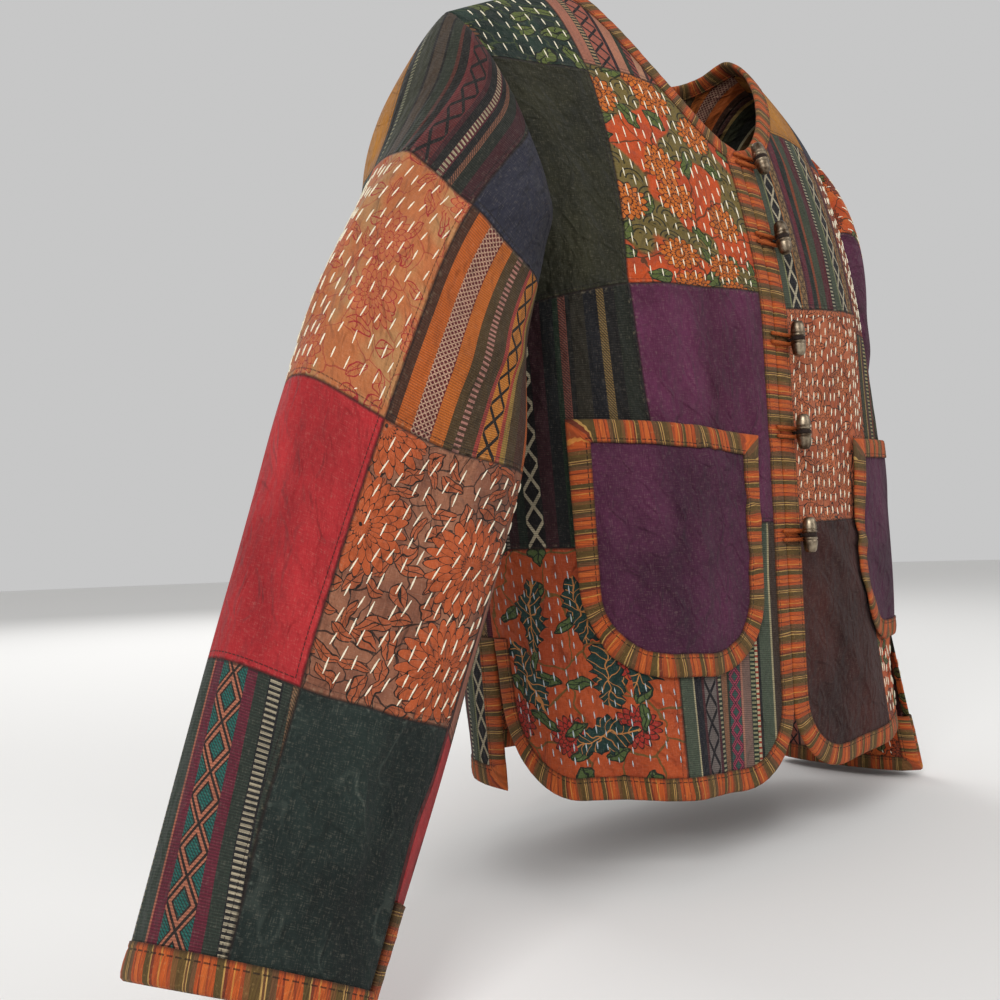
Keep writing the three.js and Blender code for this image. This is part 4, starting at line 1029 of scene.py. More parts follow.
def neck_line(panel, start):
    """The neckline from the shoulder down to the centre, close together where it is steep."""
    turn = np.linspace(0, math.pi / 2, 46)
    across = start + (NECK_EDGE - start) * np.cos(turn)
    return [(float(u), float(panel.top_rise(u))) for u in across]


def corner_line(centre, start, end):
    angles = np.linspace(math.radians(start), math.radians(end), 14)
    return [(centre[0] + HEM_CORNER * math.cos(a), centre[1] + HEM_CORNER * math.sin(a)) for a in angles]


def front_binding(name):
    panel = PANELS[name]
    hem = BINDING_WIDTH + SEAM_GAP
    line = neck_line(panel, INSET)
    line += corner_line((INSET + HEM_CORNER, hem + HEM_CORNER), 180, 270)
    line += corner_line((SLIT_EDGE - HEM_CORNER, hem + HEM_CORNER), 270, 360)
    line.append((SLIT_EDGE, SLIT_RISE - SEAM_GAP))
    binding(f"bound_edge_{name}", line, 1, panel.place, panel.normal, f"binding_{name}",
            first=shoulder_way(panel), last=(1.0, 0.0))


def back_surface(kind):
    def find(across, rise):
        across, rise = np.broadcast_arrays(np.asarray(across, float), np.asarray(rise, float))
        right = getattr(PANELS["back_right"], kind)(np.abs(across), rise)
        left = getattr(PANELS["back_left"], kind)(np.abs(across), rise)
        return np.where((across < 0)[..., None], right, left)
    return find


def back_bindings():
    right = PANELS["back_right"]
    place = back_surface("place")
    normal = back_surface("normal")
    half = neck_line(right, 0.0)
    line = [(-u, r) for u, r in half[:-1]] + half[::-1]
    inward, along = shoulder_way(right)
    binding("bound_edge_back_neck", line, -1, place, normal, "binding_back_neck",
            first=(-inward, along), last=(inward, along))
    hem = BINDING_WIDTH + SEAM_GAP
    end = SLIT_RISE - SEAM_GAP
    line = [(-SLIT_EDGE, end), (-SLIT_EDGE, hem), (SLIT_EDGE, hem), (SLIT_EDGE, end)]
    binding("bound_edge_back_hem", line, 1, place, normal, "binding_back_hem",
            first=(-1.0, 0.0), last=(1.0, 0.0))


def cuff_binding(name):
    sleeve = SLEEVE_SURFACES[name]
    slit_at, end_at = sleeve_ends(sleeve)
    near = sleeve.slit_part * sleeve.girth
    far = (1 - sleeve.slit_part) * sleeve.girth
    top = -(slit_at * sleeve.length + CUFF_GAP)
    end = -end_at * sleeve.length
    line = [(near, top), (near, end), (far, end), (far, top)]

    def place(u, r):
        return sleeve.place_part(u / sleeve.girth, -r / sleeve.length)

    def normal(u, r):
        return sleeve.normal_part(u / sleeve.girth, -r / sleeve.length)
    binding(f"bound_edge_cuff_{name}", line, 1, place, normal, f"binding_cuff_{name}",
            first=(-1.0, 0.0), last=(1.0, 0.0), gap=CUFF_GAP)


def pocket(name):
    """A patch pocket that lies on its front, and the binding round it."""
    panel = PANELS[f"front_{name}"]
    left = POCKET_INNER[name] + INSET
    right = POCKET_INNER[name] + POCKET["width"] - INSET
    low = POCKET["bottom"] + INSET
    high = POCKET["top"] - INSET
    radius = POCKET["corner"] - INSET

    def floor(u):
        reach = radius - np.clip(np.minimum(u - left, right - u), 0, radius)
        return low + radius - np.sqrt(np.maximum(0, radius ** 2 - reach ** 2))

    def region(middle):
        return floor, (lambda u: high)

    def patches(u, r):
        return {"design": "pocket_purple", "box": (left, right, low, high), "open": (True,) * 4}

    def flat_same(u, r):
        return u, r
    columns = filled([left, left + 1, right - 1, right], CELL)
    cut = Cut(columns, filled([low, high], CELL), patches, region, flat_same)
    base = WALL / 2 + POCKET["lift"]
    obj = shell(f"patch_pocket_{name}", cut, panel.place, panel.normal, POCKET["wall"],
                panel_measure(f"front_{name}"), lift=base + POCKET["wall"] / 2)
    settle(obj, "pocket_cloth", f"pocket_{name}")
    turn = [math.radians(a) for a in np.linspace(0, 90, 10)]
    line = [(left, high)]
    line += [(left + radius - radius * math.cos(a), low + radius - radius * math.sin(a)) for a in turn]
    line += [(right - radius + radius * math.sin(a), low + radius - radius * math.cos(a)) for a in turn]
    line += [(right, high), (left, high)]
    binding(f"bound_edge_pocket_{name}", line, 1, panel.place, panel.normal, f"binding_pocket_{name}",
            closed=True, wall=POCKET["binding_wall"], lift=base + POCKET["binding_wall"] / 2)


# Toggles: half profile of a barrel, as distance along from its middle and radius
BARREL = ((14.0, 0.0), (13.9, 2.0), (13.5, 3.3), (12.6, 4.2), (11.0, 4.8), (8.0, 5.3), (5.2, 5.6),
          (4.6, 5.6), (4.2, 5.0), (3.8, 5.0), (3.4, 5.7), (2.4, 5.8), (1.9, 5.5), (1.6, 4.7), (0.0, 4.6))
BARREL_SIDES = 40
# Threads: a shank of strands under the barrel, and three turns round its middle
SHANK_THREADS = 5
SHANK_RADIUS = 0.85
WRAP_RADIUS = 4.95
WRAP_PITCH = 0.95


def lathe(profile):
    """A profile of places along and radii, turned round the y axis."""
    sides = BARREL_SIDES
    points = []
    faces = []
    for along, radius in profile:
        for k in range(sides):
            angle = 2 * math.pi * k / sides
            points.append((radius * math.cos(angle), along, radius * math.sin(angle)))
    for j in range(len(profile) - 1):
        for k in range(sides):
            n = (k + 1) % sides
            faces.append([j * sides + k, j * sides + n, (j + 1) * sides + n, (j + 1) * sides + k])
    return np.array(points), faces


def tube(path, radius, sides):
    """A round tube along points, with closed ends."""
    path = np.array(path, float)
    runs = unit(np.gradient(path, axis=0))
    side = unit(np.cross(runs[0], (0.31, 0.17, 0.93)))
    points = []
    for k, (place, run) in enumerate(zip(path, runs)):
        side = unit(side - run * np.dot(side, run))
        other = np.cross(run, side)
        for s in range(sides):
            angle = 2 * math.pi * s / sides
            points.append(place + (side * math.cos(angle) + other * math.sin(angle)) * radius)
    faces = []
    for k in range(len(path) - 1):
        for s in range(sides):
            n = (s + 1) % sides
            faces.append([k * sides + s, k * sides + n, (k + 1) * sides + n, (k + 1) * sides + s])
    faces.append(list(range(sides))[::-1])
    faces.append([(len(path) - 1) * sides + s for s in range(sides)])
    return points, faces


def toggle(index, height):
    panel = PANELS["front_left"]
    rise = float(panel.rise_at(TOGGLE_ACROSS, height))
    base = panel.place(TOGGLE_ACROSS, rise)
    out = panel.normal(TOGGLE_ACROSS, rise)
    up = unit(panel.place(TOGGLE_ACROSS, rise + 10) - panel.place(TOGGLE_ACROSS, rise - 10))
    sideways = unit(np.cross(up, out))
    cloth_top = BINDING_WALL / 2 + 0.5
    loop_lift = cloth_top + LOOP_RADIUS
    barrel_lift = cloth_top + LOOP_RADIUS * 2 + SEAM_GAP + TOGGLE_RADIUS
    points, faces = lathe(BARREL + tuple((-along, radius) for along, radius in BARREL[-2::-1]))
    centre = base + out * barrel_lift
    world = centre + points[:, :1] * sideways + points[:, 1:2] * up + points[:, 2:3] * out
    barrel = add_object(f"metal_toggle_{index}", world, faces, [METAL_LOOK])
    settle(barrel, "toggle_metal", f"toggle_{index}")

    bend = THREAD_ROOM + LOOP_RADIUS
    start = -TOGGLE_ACROSS - LOOP_REACH
    flat = [(start, bend), (start / 2, bend), (-3, bend)]
    flat += [(math.cos(a) * bend, math.sin(a) * bend) for a in np.linspace(math.pi / 2, -math.pi / 2, 9)]
    flat += [(-3, -bend), (start / 2, -bend), (start, -bend)]
    path = [base + np.array((x, 0, 0)) + up * z + out * loop_lift
            for x, z in resample(flat, 1.2)]
    points, faces = tube(path, LOOP_RADIUS, 10)
    loop = add_object(f"cloth_loop_{index}", points, faces, [LOOP_LOOK])
    settle(loop, "binding_cloth", f"loop_{index}")

    thread_points = []
    thread_faces = []

    def add_tube(line, radius):
        points, faces = tube(line, radius, 6)
        shift = len(thread_points)
        thread_points.extend(points)
        thread_faces.extend([[k + shift for k in face] for face in faces])
    for k in range(SHANK_THREADS):
        angle = k * math.pi * 2 / SHANK_THREADS
        foot = base + (sideways * math.cos(angle) + up * math.sin(angle)) * SHANK_RADIUS
        add_tube([foot + out * (cloth_top - 1.2), foot + out * (barrel_lift - 4.4)], 0.4)
    for along in (-WRAP_PITCH, 0.0, WRAP_PITCH):
        ring = [centre + up * along + (sideways * math.cos(a) + out * math.sin(a)) * WRAP_RADIUS
                for a in np.linspace(0, 2 * math.pi, 25)]
        add_tube(ring, 0.5)
    thread = add_object(f"toggle_thread_{index}", thread_points, thread_faces, [THREAD_LOOK])
    settle(thread, "binding_cloth")


# Running stitches: distance between rows, length, gap, slant and colour for each kantha cloth
STITCHES = {
    "scale_print": (9.0, 9.0, 5.5, 0.6, "cream"),
    "leaf_print": (9.0, 5.5, 4.5, 0.4, "grey"),
    "teal_kantha": (9.5, 8.0, 5.0, 0.5, "cream"),
    "terracotta_kantha": (8.5, 7.0, 5.0, 1.2, "cream"),
    "rose_kantha": (8.5, 8.5, 5.0, 2.0, "cream"),
    "tan_kantha": (9.5, 7.5, 6.0, 1.5, "cream"),
    "orange_print": (9.0, 7.5, 5.5, 0.8, "cream"),
    "rust_kantha": (9.0, 7.0, 5.5, 1.0, "cream"),
}
STITCH_MARGIN = 4.0
# Half widths of a stitch at its ends and its middle, and how far its foot is under the cloth's face
STITCH_TIP = 0.3
STITCH_BELLY = 0.62
STITCH_SINK = 0.25
rng = np.random.default_rng(7)


def stitch_rows(design, x0, x1, y0, y1):
    """Ends of the stitches of one patch, as rows along y that sway a little."""
    pitch, length, gap, slant, _ = STITCHES[design]
    starts = []
    finishes = []
    for x in np.arange(x0 + pitch * 0.6, x1 - pitch * 0.3, pitch):
        y = y0 + rng.uniform(1, 6)
        phase = rng.uniform(0, 6.3)
        while y < y1 - 3:
            size = length * rng.uniform(0.8, 1.15)
            sway = 1.3 * math.sin(y / 34 + phase) + rng.uniform(-0.3, 0.3)
            lean = slant * rng.uniform(0.4, 1.4)
            starts.append((x + sway - lean / 2, y))
            finishes.append((x + sway + lean / 2, min(y + size, y1 - 2)))
            y += size + gap * rng.uniform(0.8, 1.25)
    return np.array(starts), np.array(finishes)


def dashes(name, place, normal, starts, finishes, look, slot):
    """Each stitch as a small raised ridge on the cloth's outer face."""
    ends = []
    ways = []
    for flat in (starts, finishes):
        ends.append(place(flat[:, 0], flat[:, 1]))
        ways.append(normal(flat[:, 0], flat[:, 1]))
    middle = (starts + finishes) / 2
    centre = place(middle[:, 0], middle[:, 1])
    way = normal(middle[:, 0], middle[:, 1])
    run = unit(ends[1] - ends[0])
    side = np.cross(way, run)
    base = WALL / 2 - STITCH_SINK
    tip = side * STITCH_TIP
    belly = side * STITCH_BELLY
    rows = [
        ends[0] + ways[0] * base - tip, ends[0] + ways[0] * base + tip,
        centre + way * base + belly, ends[1] + ways[1] * base + tip,
        ends[1] + ways[1] * base - tip, centre + way * base - belly,
        ends[0] * 0.82 + centre * 0.18 + ways[0] * (WALL / 2 + 0.5),
        centre + way * (WALL / 2 + 0.75),
        ends[1] * 0.82 + centre * 0.18 + ways[1] * (WALL / 2 + 0.5),
    ]
    points = np.stack(rows, axis=1).reshape(-1, 3)
    pattern = ((0, 6, 1), (1, 6, 7, 2), (2, 7, 8, 3), (3, 8, 4), (4, 8, 7, 5), (5, 7, 6, 0))
    faces = [[k * 9 + c for c in face] for k in range(len(starts)) for face in pattern]
    obj = add_object(name, points, faces, [look])
    settle(obj, slot)
    return obj


def panel_stitches(name):
    panel = PANELS[name]
    warp = panel_warp(name)
    by_colour = {}
    for start, end, rows in PATCHES[name]:
        for low, high, design in rows:
            if design not in STITCHES:
                continue
            a, b = stitch_rows(design, start, end, low + 3, min(high, TOP_RISE) - 3)
            kept = []
            for s, f in zip(a, b):
                s = warp(*s)
                f = warp(*f)
                u = (s[0] + f[0]) / 2
                limit = panel.armhole_rise(u) if u > ARMHOLE_ACROSS else panel.top_rise(u)
                floor = float(panel.bottom_rise(u)) if u < SLIT_EDGE else SLIT_RISE
                inside = INSET + 2 if panel.face < 0 else 3
                if u < inside or u > SIDE_EDGE - 3 or (u > SLIT_EDGE - 3 and s[1] < SLIT_RISE + 4):
                    continue
                if f[1] > limit - STITCH_MARGIN or s[1] < floor + STITCH_MARGIN:
                    continue
                if abs(u - ARMHOLE_ACROSS) < 4 and f[1] > panel.armhole_rise(ARMHOLE_ACROSS) - 4:
                    continue
                inner = POCKET_INNER[name.split("_")[1]]
                over_pocket = (inner - 2 < u < inner + POCKET["width"] + 2
                               and f[1] > POCKET["bottom"] - 2 and s[1] < POCKET["top"] + 2)
                if panel.face < 0 and over_pocket:
                    continue
                kept.append((s, f))
            by_colour.setdefault(STITCHES[design][4], []).extend(kept)
    made = []
    for colour, pairs in by_colour.items():
        if not pairs:
            continue
        starts = np.array([s for s, _ in pairs])
        finishes = np.array([f for _, f in pairs])
        made.append(dashes(f"stitches_{name}_{colour}", panel.place, panel.normal, starts, finishes,
                           THREADS[colour], "body_cloth"))
    return made


def sleeve_stitches(name):
    sleeve = SLEEVE_SURFACES[name]
    key = f"sleeve_{name}"
    pairs = []
    slit_at, end_at = sleeve_ends(sleeve)
    for start, end, rows in PATCHES[key]:
        for low, high, design in rows:
            if design not in STITCHES:
                continue
            high = min(high, end_at)
            girth = float(sleeve.local_girth((low + high) / 2))
            a, b = stitch_rows(design, start * girth, end * girth, low * sleeve.length + 3,
                               high * sleeve.length - 3)
            for s, f in zip(a, b):
                s = (s[0] / girth, s[1] / sleeve.length)
                f = (f[0] / girth, f[1] / sleeve.length)
                outside_slit = sleeve.first_part + 0.02 < s[0] < sleeve.last_part - 0.02
                if (f[1] > slit_at - 0.01 and not outside_slit) or s[1] < 0.012:
                    continue
                pairs.append((sleeve_warp(name, *s), sleeve_warp(name, *f)))
    starts = np.array([s for s, _ in pairs])
    finishes = np.array([f for _, f in pairs])
    return [dashes(f"stitches_{key}", sleeve.place, sleeve.normal, starts, finishes,
                   THREADS["cream"], "sleeve_cloth")]


# Looks: shader expressions

def linear(code):
    """A hex colour as linear light."""
    values = [int(code[k:k + 2], 16) / 255 for k in (0, 2, 4)]
    return tuple(v / 12.92 if v <= 0.04045 else ((v + 0.055) / 1.055) ** 2.4 for v in values) + (1.0,)


class Value:
    """A number in a shader, which can be worked with like any number."""

    def __init__(self, look, socket):
        self.look = look
        self.socket = socket

    def __add__(self, other):
        return self.look.math("ADD", self, other)

    def __sub__(self, other):
        return self.look.math("SUBTRACT", self, other)

    def __rsub__(self, other):
        return self.look.math("SUBTRACT", other, self)

    def __mul__(self, other):
        return self.look.math("MULTIPLY", self, other)

    def __truediv__(self, other):
        return self.look.math("DIVIDE", self, other)

    def __lt__(self, other):
        return self.look.math("LESS_THAN", self, other)

    def __gt__(self, other):
        return self.look.math("GREATER_THAN", self, other)

    def __mod__(self, other):
        return self.look.math("FLOORED_MODULO", self, other)

    def __abs__(self):
        return self.look.math("ABSOLUTE", self)

    __radd__ = __add__
    __rmul__ = __mul__


class Look:
    """A material and the nodes that it is made of."""

    def __init__(self, name):
        self.material = bpy.data.materials.new(name)
        self.material.use_nodes = True
        self.tree = self.material.node_tree
        self.tree.nodes.clear()

    def node(self, kind, **settings):
        node = self.tree.nodes.new(kind)
        for key, value in settings.items():
            setattr(node, key, value)
        return node

    def feed(self, socket, value):
        if isinstance(value, Value):
            self.tree.links.new(value.socket, socket)
        elif isinstance(value, bpy.types.NodeSocket):
            self.tree.links.new(value, socket)
        else:
            socket.default_value = value

    def math(self, operation, *values):
        node = self.node("ShaderNodeMath", operation=operation)
        for socket, value in zip(node.inputs, values):
            self.feed(socket, value)
        return Value(self, node.outputs[0])

    def soft(self, value, low, high):
        node = self.node("ShaderNodeMapRange", interpolation_type="SMOOTHSTEP")
        self.feed(node.inputs["Value"], value)
        node.inputs["From Min"].default_value = low
        node.inputs["From Max"].default_value = high
        return Value(self, node.outputs["Result"])

    def least(self, *values):
        result = values[0]
        for value in values[1:]:
            result = self.math("MINIMUM", result, value)
        return result

    def blend(self, factor, a, b, mode="MIX"):
        node = self.node("ShaderNodeMix", data_type="RGBA", blend_type=mode)
        self.feed(node.inputs[0], factor)
        self.feed(node.inputs[6], a)
        self.feed(node.inputs[7], b)
        return node.outputs[2]

    def uv(self, name):
        node = self.node("ShaderNodeUVMap", uv_map=name)
        parts = self.node("ShaderNodeSeparateXYZ")
        self.tree.links.new(node.outputs[0], parts.inputs[0])
        return Value(self, parts.outputs[0]), Value(self, parts.outputs[1])

    def vector(self, x, y, z=0.0):
        node = self.node("ShaderNodeCombineXYZ")
        for socket, value in zip(node.inputs, (x, y, z)):
            self.feed(socket, value)
        return node.outputs[0]

    def noise(self, vector, scale, detail=3.0, rough=0.55):
        node = self.node("ShaderNodeTexNoise")
        self.feed(node.inputs["Vector"], vector)
        node.inputs["Scale"].default_value = scale
        node.inputs["Detail"].default_value = detail
        node.inputs["Roughness"].default_value = rough
        return Value(self, node.outputs["Fac"])

    def ramp(self, value, stops, constant=True):
        node = self.node("ShaderNodeValToRGB")
        node.color_ramp.interpolation = "CONSTANT" if constant else "LINEAR"
        while len(node.color_ramp.elements) > 1:
            node.color_ramp.elements.remove(node.color_ramp.elements[-1])
        for k, (where, colour) in enumerate(stops):
            element = node.color_ramp.elements[0] if k == 0 else node.color_ramp.elements.new(where)
            element.position = where
            element.color = colour
        self.feed(node.inputs[0], value)
        return node.outputs[0]

    def shader(self, colour, roughness, height, metal=0.0, sheen=0.0):
        node = self.node("ShaderNodeBsdfPrincipled")
        self.feed(node.inputs["Base Color"], colour)
        self.feed(node.inputs["Roughness"], roughness)
        node.inputs["Metallic"].default_value = metal
        node.inputs["Sheen Weight"].default_value = sheen
        node.inputs["Sheen Roughness"].default_value = 0.6
        node.inputs["Specular IOR Level"].default_value = 0.5 if metal else 0.25
        if height is not None:
            bump = self.node("ShaderNodeBump")
            bump.inputs["Strength"].default_value = 1.0
            bump.inputs["Distance"].default_value = 0.001
            self.feed(bump.inputs["Height"], height)
            self.tree.links.new(bump.outputs[0], node.inputs["Normal"])
        output = self.node("ShaderNodeOutputMaterial")
        self.tree.links.new(node.outputs[0], output.inputs[0])
        return self.material


def zigzag(value, period):
    """Runs evenly from 0 to 1 and back once in each period."""
    look = value.look
    return abs(look.math("FLOORED_MODULO", value / period, 1.0) * 2.0 - 1.0)


def motif(kind, x, y, middle, width, period):
    """Where a woven motif of a band has its second colour, from 0 to 1."""
    aside = abs(x - middle) / (width / 2)
    if kind == "ladder":
        return ((y % period) < period * 0.5) * (aside < 0.8)
    if kind == "cross":
        return (abs(aside - zigzag(y, period)) < 0.2) * (aside < 0.92)
    if kind == "diamond":
        reach = aside + zigzag(y, period)
        return (reach > 0.66) * (reach < 0.9) + (reach > 1.1) * (reach < 1.26)
    if kind == "twill":
        return (((x + y) % period) < period * 0.34) + (((x - y) % period) < period * 0.34)
    if kind == "twist":
        return ((x + y) % period) < period * 0.45
    return (y % period) < period * 0.6


# Distances between a plain cloth's threads and a handloom cloth's ribs, and the share of worn colour
THREAD_PITCH = 1.15
RIB_PITCH = 1.45
WEAR = 0.05


def woven(look, x, y):
    """Threads of a plain weave, in millimetres of height."""
    across = look.math("SINE", x * (2 * math.pi / THREAD_PITCH))
    along = look.math("SINE", y * (2 * math.pi / THREAD_PITCH))
    return across * along * 0.045


def wrinkles(look, x, y, across, along, seed):
    """Thin bent ridges from noise, 1 on their lines and 0 between them."""
    field = look.noise(look.vector(x / across, y / along, seed), 1.0, 1.5, 0.5)
    return 1.0 - look.soft(abs(field - 0.5), 0.0, 0.06)


def cloth(name, paint, crinkle=0.35, rib=False, worn="B8A888", topstitch=0.75, creased=0.0):
    """A cloth look: its own colours, then seams, dark topstitching, wear, weave and crinkles, with painted
    shade in the seam grooves and between the ribs.
    """
    look = Look(name)
    x, y = look.uv("flat")
    left, right = look.uv("sides")
    bottom, top = look.uv("ends")
    edge = look.least(left, right, bottom, top)
    colour, relief = paint(look, x, y)
    soft_noise = look.noise(look.vector(x, y), 0.03, 3.0)
    fine_noise = look.noise(look.vector(x, y, 3.0), 0.32, 3.0)
    shade = look.ramp(soft_noise, ((0.3, linear("A6A6A6")), (0.7, linear("F4F4F4"))), constant=False)
    colour = look.blend(0.45, colour, shade, "MULTIPLY")
    weft = look.noise(look.vector(x * 0.22, y * 1.7), 1.0, 2.0)
    warp = look.noise(look.vector(x * 1.7, y * 0.22, 4.0), 1.0, 2.0)
    grain = (weft + warp) * 0.5
    colour = look.blend(look.soft(grain, 0.52, 0.64) * 0.05, colour, linear("E8D8C0"))
    colour = look.blend((1.0 - look.soft(grain, 0.36, 0.5)) * 0.16, colour, linear("0C0808"))
    ribs = look.math("SINE", y * (2 * math.pi / RIB_PITCH)) if rib else None
    if rib:
        # Painted shade: the colour darkens towards near black in the troughs between the ribs, where the
        # rib relief is low
        rib_crest = look.soft(ribs, -0.2, 0.9)
        colour = look.blend((1.0 - rib_crest) * 0.38, colour, linear("100C0A"))
    lines = wrinkles(look, x, y, 26.0, 44.0, 2.0)
    cross_lines = wrinkles(look, x + y * 0.7, y - x * 0.5, 30.0, 52.0, 6.0)
    lines = look.math("MAXIMUM", lines, cross_lines * 0.8)
    if creased:
        thin = look.soft(lines, 0.7, 1.0) * look.soft(soft_noise, 0.44, 0.6)
        colour = look.blend(thin * creased, colour, linear(worn))
    rub = look.soft(fine_noise, 0.5, 0.72) * (1.0 - look.soft(edge, 1.0, 4.0)) * (WEAR * 3)
    colour = look.blend(rub + look.soft(fine_noise, 0.6, 0.8) * WEAR, colour, linear(worn))
    sewn = look.least(bottom, right)
    stitch = (abs(sewn - 3.6) < 0.3) * (((x + y) % 3.0) < 2.3)
    colour = look.blend(stitch * topstitch, colour, linear("18110F"))
    # Painted shade: within 1.6 mm of a seam the colour darkens towards near black, over the same dent that
    # the groove makes in the height
    seam_groove_shade = 1.0 - look.soft(edge, 0.0, 1.6)
    colour = look.blend(seam_groove_shade * 0.8, colour, linear("1A0F0C"))
    pucker = look.noise(look.vector(x * 0.16, y * 0.1, 7.0), 1.0, 3.0)
    near_seam = 1.0 - look.soft(edge, 1.0, 9.0)
    seam_run = look.noise(look.vector(x * 0.24, y * 0.24, 8.0), 1.0, 1.0)
    height = woven(look, x, y) + relief
    if rib:
        height = height + ribs * 0.1
    folds = look.noise(look.vector(x * 0.06, y * 0.032, 9.0), 1.0, 2.0)
    height = height + pucker * (crinkle * 4.4) + seam_run * near_seam * 2.6 + folds * 8.0
    height = height + lines * (crinkle * 2.0) - seam_groove_shade * 1.0 - stitch * 0.45
    rough = look.math("ADD", fine_noise * 0.12, 0.8)
    return look.shader(colour, rough, height, sheen=0.02)


def plain(name, dark, light, **settings):
    def paint(look, x, y):
        mottle = look.noise(look.vector(x * 0.022, y * 0.012, 1.0), 1.0, 3.0, 0.6)
        stops = ((0.34, linear(dark)), (0.66, linear(light)))
        return look.ramp(mottle, stops, constant=False), mottle * 0.1
    return cloth(name, paint, crinkle=0.6, **settings)


def band_stops(bands):
    """Width of a run of bands, and the ramp stops of their colours."""
    total = sum(band[0] for band in bands)
    stops = []
    start = 0.0
    for band in bands:
        stops.append((start / total, linear(band[1])))
        start += band[0]
    return total, stops


def striped(name, bands):
    """Bands: width and colour, then optionally motif, its colour, its period and its filling."""
    total, stops = band_stops(bands)

    def paint(look, x, y):
        across = x % total
        colour = look.ramp(across / total, stops)
        raised = 0.0
        start = 0.0
        for band in bands:
            width = band[0]
            if len(band) > 2:
                middle = start + width / 2
                inside = abs(across - middle) < width / 2
                mark = motif(band[2], across, y, middle, width, band[4]) * inside
                colour = look.blend(mark, colour, linear(band[3]))
                raised = mark * 0.18 + raised
                if len(band) > 5:
                    reach = abs(across - middle) / (width / 2) + zigzag(y, band[4])
                    filled_in = ((reach < 0.52) + (reach > 1.36)) * inside * (((across + y) % 2.0) < 1.5)
                    colour = look.blend(filled_in, colour, linear(band[5]))
            start += width
        edges = look.math("SINE", across * (2 * math.pi / 4.3)) * 0.05
        return colour, raised + edges
    return cloth(name, paint, rib=True)


def cells(look, x, y, size, seed):
    """Places of scattered motifs: offset from the nearest one, and its two random numbers."""
    node = look.node("ShaderNodeTexVoronoi", voronoi_dimensions="2D")
    node.inputs["Scale"].default_value = 1.0
    node.inputs["Randomness"].default_value = 0.55
    u = x / size + seed
    v = y / size + seed * 1.7
    look.feed(node.inputs["Vector"], look.vector(u, v))
    parts = look.node("ShaderNodeSeparateXYZ")
    look.feed(parts.inputs[0], node.outputs["Position"])
    shades = look.node("ShaderNodeSeparateColor")
    look.feed(shades.inputs[0], node.outputs["Color"])
    dx = (u - Value(look, parts.outputs[0])) * size
    dy = (v - Value(look, parts.outputs[1])) * size
    return dx, dy, Value(look, shades.outputs[0]), Value(look, shades.outputs[1])


def flower(look, dx, dy, turn, radius, petals, line):
    """Inside of a flower, and its drawing: rings of petals round a small centre."""
    distance = look.math("SQRT", dx * dx + dy * dy)
    angle = look.math("ARCTAN2", dy, dx) + turn * 6.28
    drawn = None
    inside = None
    for share, shift in ((1.0, 0.0), (0.76, 1.57), (0.5, 0.0), (0.26, 1.57)):
        wave = abs(look.math("SINE", angle * (petals / 2) + shift))
        reach = (wave * 0.24 + 0.76) * (radius * share)
        ring = abs(distance - reach) < line
        rib = (wave < 0.13) * (distance < reach) * (distance > radius * (share - 0.26))
        drawn = ring + rib if drawn is None else drawn + ring + rib
        if inside is None:
            inside = distance < reach
    centre = distance < radius * 0.04
    return inside, drawn + centre


def leaf(look, dx, dy, turn, length, width, line, teeth):
    """Inside of a leaf, its outline and its veins."""
    angle = turn * 6.28
    cos = look.math("COSINE", angle)
    sin = look.math("SINE", angle)
    along = dx * cos + dy * sin
    aside = abs(dy * cos - dx * sin)
    part = along / length
    swell = look.math("MAXIMUM", 1.0 - part * part, 0.0) * width
    if teeth:
        swell = swell * (zigzag(along, 7.0) * teeth + (1 - teeth))
    inside = aside < swell
    outline = abs(aside - swell) < line
    veins = ((aside < line * 0.8) + (((abs(along) - aside * 0.9) % 6.5) < line * 1.1)) * inside
    return inside, outline * (abs(part) < 1.0), veins


def vines(look, x, y, size, seed, line):
    """Branching lines, which run along the borders of scattered cells."""
    node = look.node("ShaderNodeTexVoronoi", voronoi_dimensions="2D", feature="DISTANCE_TO_EDGE")
    node.inputs["Scale"].default_value = 1.0
    look.feed(node.inputs["Vector"], look.vector(x / size + seed, y / size + seed * 0.7))
    return Value(look, node.outputs["Distance"]) < line / size


def scales(look, x, y, size, line):
    """Rows of overlapping round scales, each with rings inside it."""
    row = look.math("FLOOR", y / (size / 2))
    shift = (row % 2.0) * (size / 2)
    sx = ((x + shift) % size) - size / 2
    sy = y % (size / 2)
    distance = look.math("SQRT", sx * sx + sy * sy)
    return ((distance % (size / 6)) < line) * (distance < size / 2)


# How far a print's lines stray, and the share of it that its flowers do
PRINT_DRIFT = 22.0
FLOWER_DRIFT = 0.35
VEIN_COLOUR = "B87A42"


